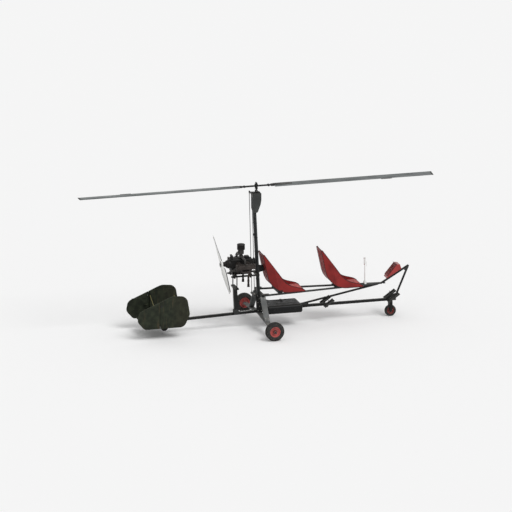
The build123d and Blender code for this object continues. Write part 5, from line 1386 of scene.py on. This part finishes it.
    def build_pipes(self) -> None:
        """Adds the rigid fuel, oil and breather pipes, and the rubbers of the engine's mounts."""
        runs = [
            [(0.560, 0.060, 0.452), (0.560, 0.060, 0.480), (0.300, 0.050, 0.490), (0.120, 0.0435, 0.560),
             (0.0560, 0.0430, 0.700), (0.0300, 0.0400, 1.000), (0.0060, 0.0400, 1.160),
             (-0.0500, 0.0450, 1.205), (-0.112, 0.0450, 1.225)],
            [(-0.500, 0.080, 1.300), (-0.500, 0.112, 1.300), (-0.500, 0.120, 1.220), (-0.430, 0.112, 1.150),
             (-0.330, 0.080, 1.146), (-0.330, 0.055, 1.146)],
            [(-0.450, -0.020, 1.436), (-0.450, -0.020, 1.500), (-0.430, -0.030, 1.560),
             (-0.390, -0.030, 1.590), (-0.345, -0.020, 1.590)],
        ]
        make_tubes("engine_pipes", runs, 0.0055, Finishes.MACHINED, "engine_cast")
        rubber = Shape()
        for s in SIGNS:
            for x in self.foot_xs:
                rubber.turned((x, s * self.foot_y, self.bush_z), Z,
                              [(-0.018, 0.0), (-0.018, 0.018), (-0.002, 0.022), (0.006, 0.018),
                               (0.006, 0.0)], 28)
            rubber.block((-0.5605, s * self.foot_y, 1.105), (0.0025, 0.0135, 0.0135), 0.001)
        rubber.piece("mount_rubbers", Finishes.HARD_RUBBER, "tyre_rubber")

    def build(self) -> None:
        """Builds the engine's pieces."""
        self.build_heads()
        self.build_case()
        self.build_drives()
        self.build_intake()
        self.build_exhaust()
        self.build_pipes()


@dataclass
class Propeller:
    """The propeller's bolts, its washer plate and the metal guards on its leading edges."""

    centre: Point = (-0.722, 0.0, 1.338)
    pose: float = math.radians(55.0)
    radius: float = 0.750
    edges: tuple[Point, ...] = ((0.16, 0.040, 52.0), (0.30, 0.053, 40.0), (0.65, 0.050, 23.0),
                                (0.98, 0.029, 15.5))

    def build_guards(self) -> None:
        """Adds the dark guards along the blades' leading edges."""
        runs = []
        for sign in (1, -1):
            way = sign * (Y * math.sin(self.pose) + Z * math.cos(self.pose))
            run = []
            for share, reach, pitch in self.edges:
                chord = way.cross(X) * math.cos(math.radians(pitch)) + X * math.sin(math.radians(pitch))
                run.append(Vector(self.centre) + way * (self.radius * share) + chord * reach)
            runs.append(run)
        make_tubes("propeller_guards", runs, 0.008, Finishes.BLACK_BOLT, "prop_dark", "propeller")

    def build(self) -> None:
        """Builds the propeller's pieces."""
        self.build_guards()
        bolts, plate = Shape(), Shape()
        x, _, z = self.centre
        bolts.bolts(-X, 0.006, 0.009, *circle(x - 0.0170, z, 0.0568, 6, 0.3))
        bolts.bolts(-X, 0.013, 0.010, (x - 0.030, 0, z))
        plate.turned((x - 0.030, 0, z), X,
                     [(0.0, 0.0), (0.0, 0.040), (0.004, 0.0465), (0.009, 0.0475), (0.009, 0.0)])
        plate.turned((x + 0.017, 0, z), X,
                     [(-0.002, 0.021), (-0.002, 0.064), (0.004, 0.062), (0.004, 0.021)], closed=True)
        bolts.piece("propeller_bolts", Finishes.BOLT, "prop_dark", "propeller")
        plate.piece("propeller_plate", Finishes.MACHINED, "prop_dark", "propeller")


@dataclass
class RotorHead:
    """The fairing's screws and seams, the head's bearings and bolts, and the teeter tower's nuts."""

    fairing_top: float = 2.770
    fairing_half_width: float = 0.075
    corners: tuple[tuple[float, float], ...] = (
        (-0.091, 0.0), (0.085, 0.0), (0.085, 0.134), (0.070, 0.226), (0.046, 0.292), (0.016, 0.374),
        (0.000, 0.393), (-0.062, 0.394), (-0.087, 0.320))
    rod_end: Point = (-0.118, 0.100, 2.766)
    teeter_z: float = 2.939
    ear_outer_y: float = 0.033

    def build_fairing(self) -> None:
        """Adds the fairing's screws, its raised rim, its seam and its cooling slots."""
        screws, rims, top = Shape(), Shape(), self.fairing_top
        for s in SIGNS:
            y = s * self.fairing_half_width
            middle = Vector((-0.010, y, top - 0.18))
            ring = [Vector((x, y, top - drop)) for x, drop in self.corners]
            screws.rivets(Y * s, 0.006, *(corner.lerp(middle, 0.14) for corner in ring))
            for first, last in zip(ring, ring[1:] + ring[:1]):
                rims.rod(first.lerp(middle, 0.045), last.lerp(middle, 0.045), 0.0035, 10)
            for step in range(4):
                rims.block((0, y, top - 0.055 - 0.020 * step), (0.045, 0.0025, 0.004), 0.002)
        rims.rod((0.0855, 0, top - 0.004), (0.0855, 0, top - 0.134), 0.0028, 10)
        screws.piece("fairing_screws", Finishes.BLACK_BOLT, "fairing_dark")
        rims.piece("fairing_ribs", Finishes.FAIRING, "fairing_dark")

    def build_head(self) -> None:
        """Adds the head plate's bolts, the torque bar's rod ends and the bearing's retaining ring."""
        bolts, dark, (x, y, z) = Shape(), Shape(), self.rod_end
        bolts.bolts(Z, 0.006, 0.006, *product((-0.092, -0.060, 0.052), (-0.028, 0.028),
                                              (self.fairing_top + 0.020,)))
        for s in SIGNS:
            bolts.bolts(Y * s, 0.007, 0.007, (x, s * (y + 0.012), z + 0.015))
            bolts.bolts(Y * s, 0.0075, 0.006, (0.0, s * 0.024, 2.811))
            dark.turned((x, s * y, z), Z,
                        [(-0.010, 0.0), (-0.010, 0.012), (0.030, 0.012), (0.030, 0.0)], 24)
        dark.block((0, 0, 2.8265), (0.0265, 0.0265, 0.003), 0.001)
        bolts.piece("head_plate_bolts", Finishes.BOLT, "head_metal")
        dark.piece("head_fittings", Finishes.HEAD, "head_metal")

    def build_tower(self) -> None:
        """Adds the teeter bolt's nuts and the tower's clamping bolts."""
        nuts = Shape()
        for s in SIGNS:
            nuts.bolts(Y * s, 0.0115, 0.009, (0, s * self.ear_outer_y, self.teeter_z))
            nuts.bolts(Y * s, 0.005, 0.005, *((x, s * self.ear_outer_y, 2.863) for x in (-0.012, 0.012)))
        nuts.piece("teeter_nuts", Finishes.BLACK_BOLT, "head_metal", "rotor_tower")

    def build(self) -> None:
        """Builds the head's pieces."""
        self.build_fairing()
        self.build_head()
        self.build_tower()


@dataclass
class Rotor:
    """The two blades' grips, root doublers, tip caps and trim tabs."""

    height: float = 2.914
    tip: float = 3.660
    pitch: float = math.radians(4.0)
    nose_y: float = 0.070
    tail_y: float = -0.130
    half_thickness: float = 0.012
    cap_length: float = 0.030
    tab_ends: tuple[float, float] = (2.560, 2.780)
    hub_bolts: tuple[float, ...] = (-0.140, -0.095, 0.095, 0.140)

    def blade_frames(self) -> list[Matrix]:
        """The placement of each blade: X along it, Y towards its nose."""
        fore = Matrix.Translation((0, 0, self.height)) @ Matrix.Rotation(self.pitch, 4, "X")
        return [fore, Matrix.Rotation(math.pi, 4, "Z") @ fore]

    def build_grip(self, where: Matrix, bolts: Shape, dark: Shape, plates: Shape) -> None:
        """Adds one blade's grip bolts, its pitch block and the stepped doublers at its root."""
        grip = [(x, y) for x in (0.384, 0.420, 0.456) for y in (-0.019, 0.019)] + [(0.316, 0), (0.344, 0)]
        for sign in (1, -1):
            way = where.to_3x3() @ Z * sign
            bolts.bolts(way, 0.0055, 0.005, *(where @ Vector((x, y, sign * 0.018)) for x, y in grip))
            bolts.rivets(way, 0.0045, *(where @ Vector((x, y, sign * 0.0135)) for x, y in
                                        product((0.500, 0.540, 0.580, 0.650, 0.700), (-0.018, 0.030))))
        dark.block((0.251, 0, 0), (0.017, 0.030, 0.020), 0.003, where)
        plates.block((0.545, 0.006, 0), (0.075, 0.052, 0.0135), 0.001, where)
        plates.block((0.670, 0.013, 0), (0.070, 0.043, 0.0128), 0.0006, where)

    def build_tip(self, where: Matrix, caps: Shape, tabs: Shape) -> None:
        """Adds one blade's tip cap and its trim tab."""
        half = self.half_thickness
        profile = [(self.tail_y, 0.0008), (self.nose_y - 2 * half, half + 0.0006),
                   (self.nose_y - 0.006, half * 0.74), (self.nose_y + 0.0006, 0.0)]
        outline = profile + [(y, -z) for y, z in reversed(profile[:-1])]
        face = caps.bm.faces.new([caps.bm.verts.new(where @ Vector((self.tip - self.cap_length, y, z)))
                                  for y, z in outline])
        grown = bmesh.ops.extrude_face_region(caps.bm, geom=[face])["geom"]
        bmesh.ops.translate(caps.bm, vec=where.to_3x3() @ X * self.cap_length,
                            verts=[item for item in grown if isinstance(item, bmesh.types.BMVert)])
        start, end = self.tab_ends
        tabs.box((start, self.tail_y - 0.026, -0.0010), (end, self.tail_y + 0.012, 0.0016), where=where)

    def build(self) -> None:
        """Builds both blades' pieces."""
        bolts, dark, plates, caps, tabs = (Shape() for _ in range(5))
        for where in self.blade_frames():
            self.build_grip(where, bolts, dark, plates)
            self.build_tip(where, caps, tabs)
        bolts.bolts(Z, 0.0065, 0.006, *((x, 0, self.height + 0.012) for x in self.hub_bolts))
        for shape, name, finish, slot in ((bolts, "rotor_bolts", Finishes.BOLT, "head_metal"),
                                          (dark, "pitch_blocks", Finishes.HEAD, "head_metal"),
                                          (plates, "root_doublers", Finishes.MACHINED, "blade_grey"),
                                          (caps, "tip_caps", Finishes.BLACK_FRAME, "blade_grey"),
                                          (tabs, "trim_tabs", Finishes.MACHINED, "blade_grey")):
            shape.piece(name, finish, slot, "rotor")


@dataclass
class Tail:
    """The fins' ribs, hinge covers and stay lugs, and the rudders' horns."""

    fin_y: float = 0.437
    half: float = 0.008
    hinge_x: float = -2.130
    rivet_rows: tuple[tuple[float, int], ...] = ((0.400, 11), (0.790, 9))
    stay_feet: tuple[tuple[float, float], ...] = ((-1.590, 0.650), (-2.088, 0.690))
    joint_xs: tuple[float, ...] = (-1.80, -1.92, -2.04)
    rudder_ribs: tuple[float, float] = (0.400, 0.640)

    def build_fins(self) -> None:
        """Adds ribs and rows of rivets on the fins, the hinges' covers and the stays' lugs."""
        ribs, rivets, lugs = Shape(), Shape(), Shape()
        for s in SIGNS:
            outer, inner = s * (self.fin_y + self.half), s * (self.fin_y - self.half)
            ribs.block((-2.106, s * (self.fin_y - 0.01085), 0.526), (0.006, 0.00335, 0.236))
            ribs.block((-2.1135, s * (self.fin_y - 0.0137), 0.526), (0.0135, 0.0005, 0.236))
            ribs.block((-1.835, inner, 0.400), (0.250, 0.004, 0.010), 0.003)
            ribs.block((-1.810, inner, 0.790), (0.200, 0.004, 0.010), 0.003)
            rivets.rivets(Y * s, 0.0032, *((-1.620 - 0.046 * step, outer, z)
                                           for z, count in self.rivet_rows for step in range(count)))
            rivets.rivets(Y * s, 0.0032, *((-2.080, outer, 0.290 + 0.062 * step) for step in range(8)))
            for x, z in self.stay_feet:
                lugs.turned((x, outer, z), Y * s, [(-0.001, 0.0), (-0.001, 0.019), (0.002, 0.019),
                                                   (0.003, 0.016), (0.003, 0.0)], 30)
                lugs.bolts(Y * s, 0.008, 0.007, (x, outer + 0.003 * s, z))
            for x in self.joint_xs:
                low = 0.252 + (x + 1.80) * 0.0325
                lugs.block((x, s * 0.4275, low + 0.027), (0.018, 0.0018, 0.019), 0.001)
                lugs.bolts(Y * s, 0.006, 0.005, (x, outer, low + 0.038))
        ribs.piece("fin_ribs", Finishes.FIN, "fin_olive")
        rivets.piece("fin_rivets", Finishes.BLACK_BOLT, "fin_olive")
        lugs.piece("stay_lugs", Finishes.BLACK_BOLT, "stay_olive")

    def build_rudder(self, side: Side) -> None:
        """Adds one rudder's horn, its rivets and its stiffening ribs."""
        horn, rivets, s = Shape(), Shape(), side.value
        inner, body = s * (self.fin_y - self.half), f"rudder_{side.word}"
        horn.block((self.hinge_x - 0.0475, inner - s * 0.030, 0.512), (0.0275, 0.030, 0.002), 0.001)
        horn.bolts(Z, 0.006, 0.006, (self.hinge_x - 0.045, inner - s * 0.046, 0.514))
        for z in self.rudder_ribs:
            horn.box((-2.470, inner - 0.0035, z - 0.008),
                     (self.hinge_x - 0.030, inner + 0.0035, z + 0.008), 0.002)
            rivets.rivets(Y * s, 0.0032, *((-2.180 - 0.045 * step, s * (self.fin_y + self.half), z)
                                           for step in range(7)))
        horn.piece(f"{body}_horn", Finishes.FIN, "fin_olive", body)
        rivets.piece(f"{body}_rivets", Finishes.BLACK_BOLT, "fin_olive", body)

    def build(self) -> None:
        """Builds the tail's pieces."""
        self.build_fins()
        for side in Side:
            self.build_rudder(side)


@dataclass
class Controls:
    """The stick's grip and boot, and the foot plates' treads, heel stops and toe loops."""

    stick_x: float = 2.266
    stick_top: float = 1.257
    floor: float = 0.740
    foot_y: float = 0.132
    foot_bars: tuple[tuple[float, float], ...] = ((1.430, 0.235), (2.761, 0.283))
    foot_lean: float = math.radians(35.0)

    def build_stick(self) -> None:
        """Adds the ridged grip, its two red buttons, the brake lever and the rubber boot."""
        grip, buttons, boot, lever = (Shape() for _ in range(4))
        x, top = self.stick_x, self.stick_top
        ridges = [(low + rise, radius) for low in (0.014, 0.034, 0.054, 0.074, 0.094)
                  for rise, radius in ((0.0, 0.0185), (0.010, 0.0215))]
        grip.turned((x, 0, top - 0.130), Z,
                    [(0.0, 0.0), (0.0, 0.020), (0.006, 0.0225), *ridges, (0.116, 0.019), (0.122, 0.0235),
                     (0.129, 0.022), (0.1298, 0.0)], 32)
        for low, reach in ((-0.013, 0.025), (-0.142, 0.020)):
            buttons.rod((x - 0.008, 0, top + low), (x - reach, 0, top + low + 0.002), 0.009)
        boot.turned((x, 0, self.floor), Z,
                    [(-0.001, 0.0), (-0.001, 0.034), (0.010, 0.034), (0.014, 0.027), (0.020, 0.029),
                     (0.025, 0.021), (0.031, 0.023), (0.036, 0.016), (0.044, 0.0165), (0.050, 0.0115),
                     (0.050, 0.0)], 40)
        lever.block((x + 0.026, 0, top - 0.095), (0.008, 0.004, 0.005), 0.0015)
        lever.block((x + 0.033, 0, top - 0.1375), (0.003, 0.005, 0.0475), 0.0015)
        lever.bolts(Z, 0.006, 0.006, (x, -0.048, self.floor), (x, 0.048, self.floor))
        grip.piece("stick_grip", Finishes.PALE_TUBE, "bare_alloy")
        buttons.piece("stick_buttons", Finishes.RED_PLASTIC, "pod_red")
        boot.piece("stick_boot", Finishes.PALE_TUBE, "bare_alloy")
        lever.piece("brake_lever", Finishes.PALE_TUBE, "bare_alloy")

    def build_feet(self) -> None:
        """Adds the bar treads, heel stops and toe loops of the four foot plates."""
        treads, loops = Shape(), []
        for (bar_x, length), s in product(self.foot_bars, SIGNS):
            where = lean(self.foot_lean, (bar_x - 0.0456, s * self.foot_y, 0.3279))
            for step in range(6):
                treads.block((0.020 + (length - 0.040) * step / 5, 0, 0.00125),
                             (0.004, 0.052, 0.00225), 0.0012, where)
            treads.block((0.004, 0, 0.009), (0.004, 0.052, 0.011), 0.0015, where)
            loops.append([where @ Vector((length * 0.62, y, z))
                          for y, z in ((-0.050, -0.002), (-0.050, 0.050), (0.0, 0.070), (0.050, 0.050),
                                       (0.050, -0.002))])
        treads.piece("foot_treads", Finishes.HARD_RUBBER, "tyre_rubber")
        make_tubes("toe_loops", loops, 0.004, Finishes.BLACK_BOLT, "bare_alloy")

    def build(self) -> None:
        """Builds the controls' pieces."""
        self.build_stick()
        self.build_feet()


@dataclass
class Pod:
    """The instrument pod: its hood, its screws, and the switches and dials on its face.

    A dial is its place up and across the face, its radius and its needle's turn.
    """

    foot: Point = (2.6774, 0.0, 0.8027)
    slope: float = math.atan(0.326 / 0.562)
    face_slope: float = math.atan(0.110 / 0.305)
    face_length: float = 0.3242
    half_width: float = 0.105
    face_rise: float = 0.006
    dials: tuple[tuple[float, float, float, float], ...] = (
        (0.218, 0.049, 0.038, 0.6), (0.218, -0.049, 0.038, 2.3), (0.130, 0.052, 0.030, 4.2),
        (0.130, -0.052, 0.030, 5.1), (0.140, 0.0, 0.019, 3.3))
    switch_x: float = 0.066
    switch_ys: tuple[float, ...] = (-0.060, -0.036, -0.012, 0.012, 0.036, 0.060)

    @property
    def side(self) -> Matrix:
        """The pod's own placement: X along the tube under it, Z out of the tube."""
        return lean(self.slope, self.foot)

    @property
    def face(self) -> Matrix:
        """The sloping face's placement: X up the slope, Z out of the face towards the front seat."""
        return self.side @ lean(self.face_slope, (0.045, 0.0, 0.020))

    def build_cover(self) -> None:
        """Adds the hood over the face's upper end, the mount's plate, the vents and the screws."""
        cover, trim, screws = Shape(), Shape(), Shape()
        half, long = self.half_width, self.face_length
        cover.block((long - 0.013, 0, 0.016), (0.003, half - 0.006, 0.018), 0.002, self.face)
        for s in SIGNS:
            y = s * (half - 0.009)
            cover.box((0.012, y - 0.003, -0.002), (long - 0.010, y + 0.003, 0.013), 0.002, self.face)
            screws.rivets(Y * s, 0.005, *(self.side @ Vector((x, s * half, z)) for x, z in (
                (0.072, 0.014), (0.180, 0.020), (0.310, 0.020), (0.335, 0.075), (0.240, 0.075))))
            trim.block((0.175, s * 0.034, -0.032), (0.065, 0.002, 0.028), 0.001, self.side)
            screws.bolts(Y * s, 0.005, 0.004, *(self.side @ Vector((x, s * 0.036, z))
                                                for x, z in product((0.130, 0.220), (-0.050, -0.015))))
        for step in range(4):
            trim.block((0.262 + 0.014 * step, 0, -0.001), (0.003, 0.060, 0.0015), 0.001, self.side)
        cover.piece("pod_cover", Finishes.POD_TOP, "pod_red")
        trim.piece("pod_trim", Finishes.PANEL, "head_metal")
        screws.piece("pod_screws", Finishes.BLACK_BOLT, "head_metal")

    def build_dials(self) -> None:
        """Adds the dials on the pod's face: bezels, faces, ticks, needles, and switches."""
        bezels, faces, marks, needles = (Shape() for _ in range(4))
        rise, out = self.face_rise, self.face.to_3x3() @ Z
        for x, y, radius, turn in self.dials:
            at = self.face @ Vector((x, y, rise))
            bezels.turned(at, out, [(0.0, radius), (0.0, radius + 0.005), (0.005, radius + 0.004),
                                    (0.007, radius + 0.001), (0.005, radius - 0.001)], 44, closed=True)
            faces.turned(at, out, [(0.0, 0.0), (0.0, radius), (0.0022, radius), (0.0022, 0.0)], 44)
            dial = self.face @ Matrix.Translation((x, y, rise + 0.0022))
            for step in range(12):
                long = 0.26 if step % 3 == 0 else 0.16
                marks.box((radius * (0.90 - long), -0.0007, -0.0002), (radius * 0.90, 0.0007, 0.0006),
                          where=dial @ Matrix.Rotation(math.tau * step / 12, 4, "Z"))
            needles.box((-radius * 0.18, -0.0009, 0.0008), (radius * 0.72, 0.0009, 0.0016),
                        where=dial @ Matrix.Rotation(turn, 4, "Z"))
            needles.rod(at + out * 0.0022, at + out * 0.0044, radius * 0.10, 16)
        for y in self.switch_ys:
            at = self.face @ Vector((self.switch_x, y, rise))
            bezels.rod(at, at + out * 0.004, 0.005, 6)
            bezels.rod(at + out * 0.003, at + out * 0.014 + Z * 0.003, 0.0018, 10, 0.0026)
        bezels.piece("dial_bezels", Finishes.POD_TOP, "pod_red")
        faces.piece("dial_faces", Finishes.DIAL, "dial_face")
        marks.piece("dial_ticks", Finishes.IVORY, "dial_face")
        needles.piece("dial_needles", Finishes.AMBER, "dial_face")

    def build(self) -> None:
        """Builds the pod's pieces."""
        self.build_cover()
        self.build_dials()


@dataclass
class Studio:
    """The pale floor, the soft light and the camera at the photograph's angle."""

    azimuth: float = math.radians(-15.9)
    elevation: float = math.radians(15.6)
    target: Point = (-0.006, 0.0, 1.460)
    frame_width: float = 10.24
    half_angle: float = math.radians(1.5)
    sensor: float = 36.0
    floor_reach: float = 90.0
    floor_colour: tuple[float, ...] = (0.93, 0.93, 0.93, 1.0)
    sky_light: float = 0.62
    sky_seen: float = 1.0
    sun_energy: float = 1.45
    sun_spread: float = math.radians(30)
    sun_turn: Point = (math.radians(38), 0.0, math.radians(28))

    def build_camera(self) -> None:
        """Places a long lens far behind the right side, so that the view is nearly parallel."""
        data = bpy.data.cameras.new("camera")
        data.sensor_width = self.sensor
        data.lens = self.sensor / 2 / math.tan(self.half_angle)
        distance = self.frame_width / 2 / math.tan(self.half_angle)
        back = Vector((math.sin(self.azimuth) * math.cos(self.elevation),
                       -math.cos(self.azimuth) * math.cos(self.elevation), math.sin(self.elevation)))
        camera = bpy.data.objects.new("camera", data)
        camera.location = Vector(self.target) + back * distance
        camera.rotation_mode = "QUATERNION"
        camera.rotation_quaternion = (-back).to_track_quat("-Z", "Y")
        data.clip_start, data.clip_end = 1.0, distance * 4
        bpy.context.scene.collection.objects.link(camera)
        bpy.context.scene.camera = camera

    def build_floor(self) -> None:
        """Lays the floor, white to the camera apart from the object's soft shadow."""
        bm = bmesh.new()
        bmesh.ops.create_grid(bm, x_segments=1, y_segments=1, size=self.floor_reach)
        mesh = bpy.data.meshes.new("floor")
        bm.to_mesh(mesh)
        bm.free()
        floor = bpy.data.objects.new("floor", mesh)
        tree = Tree(bpy.data.materials.new("floor_white"))
        tree.feed(tree.nodes["Principled BSDF"],
                  {"Base Color": self.floor_colour, "Roughness": 0.9, "Specular IOR Level": 0.0})
        mesh.materials.append(bpy.data.materials["floor_white"])
        bpy.context.scene.collection.objects.link(floor)

    def build_light(self) -> None:
        """Adds an even sky, white where the camera, metal or glass sees it, and one soft sun."""
        world = bpy.context.scene.world = bpy.data.worlds.new("sky")
        tree = Tree(world)
        camera, glossy, clear = (tree.add("ShaderNodeLightPath", {}, {}, f"Is {ray} Ray")
                                 for ray in ("Camera", "Glossy", "Transmission"))
        seen = tree.math("MAXIMUM", tree.math("MAXIMUM", camera, glossy), clear)
        level = tree.add("ShaderNodeMapRange", {},
                         {"Value": seen, "To Min": self.sky_light, "To Max": self.sky_seen})
        tree.feed(tree.nodes["Background"], {"Color": (1.0, 1.0, 1.0, 1.0), "Strength": level})
        data = bpy.data.lights.new("sun", "SUN")
        data.energy, data.angle = self.sun_energy, self.sun_spread
        sun = bpy.data.objects.new("sun", data)
        sun.rotation_euler = self.sun_turn
        bpy.context.scene.collection.objects.link(sun)

    def build(self) -> None:
        """Sets the whole stage."""
        self.build_camera()
        self.build_floor()
        self.build_light()
        bpy.context.scene.view_settings.view_transform = "Standard"


def main() -> None:
    """Loads the frame, builds and dresses every sub-assembly."""
    logging.basicConfig(level=logging.INFO, format="%(name)s: %(message)s")
    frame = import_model()
    for finish, nodes in Finishes.NODES.items():
        for slot in (slot for node in nodes.split() for slot in frame["nodes"][node].material_slots):
            slot.material = finish.material()
    for part in (Studio(), Undercarriage(), Frame(), Tank(), Engine(), Propeller(), RotorHead(), Rotor(),
                 Tail(), Controls(), Pod()):
        part.build()
        log.info("built %s", type(part).__name__)
    front, rear = (Seat(place, place_x) for place, place_x in SEAT_PLACES.items())
    shared = front.build(frame).copy()
    shared.transform(Matrix.Translation(X * (rear.place_x - front.place_x)))
    rear.build(frame, shared)


if __name__ == "__main__":
    main()
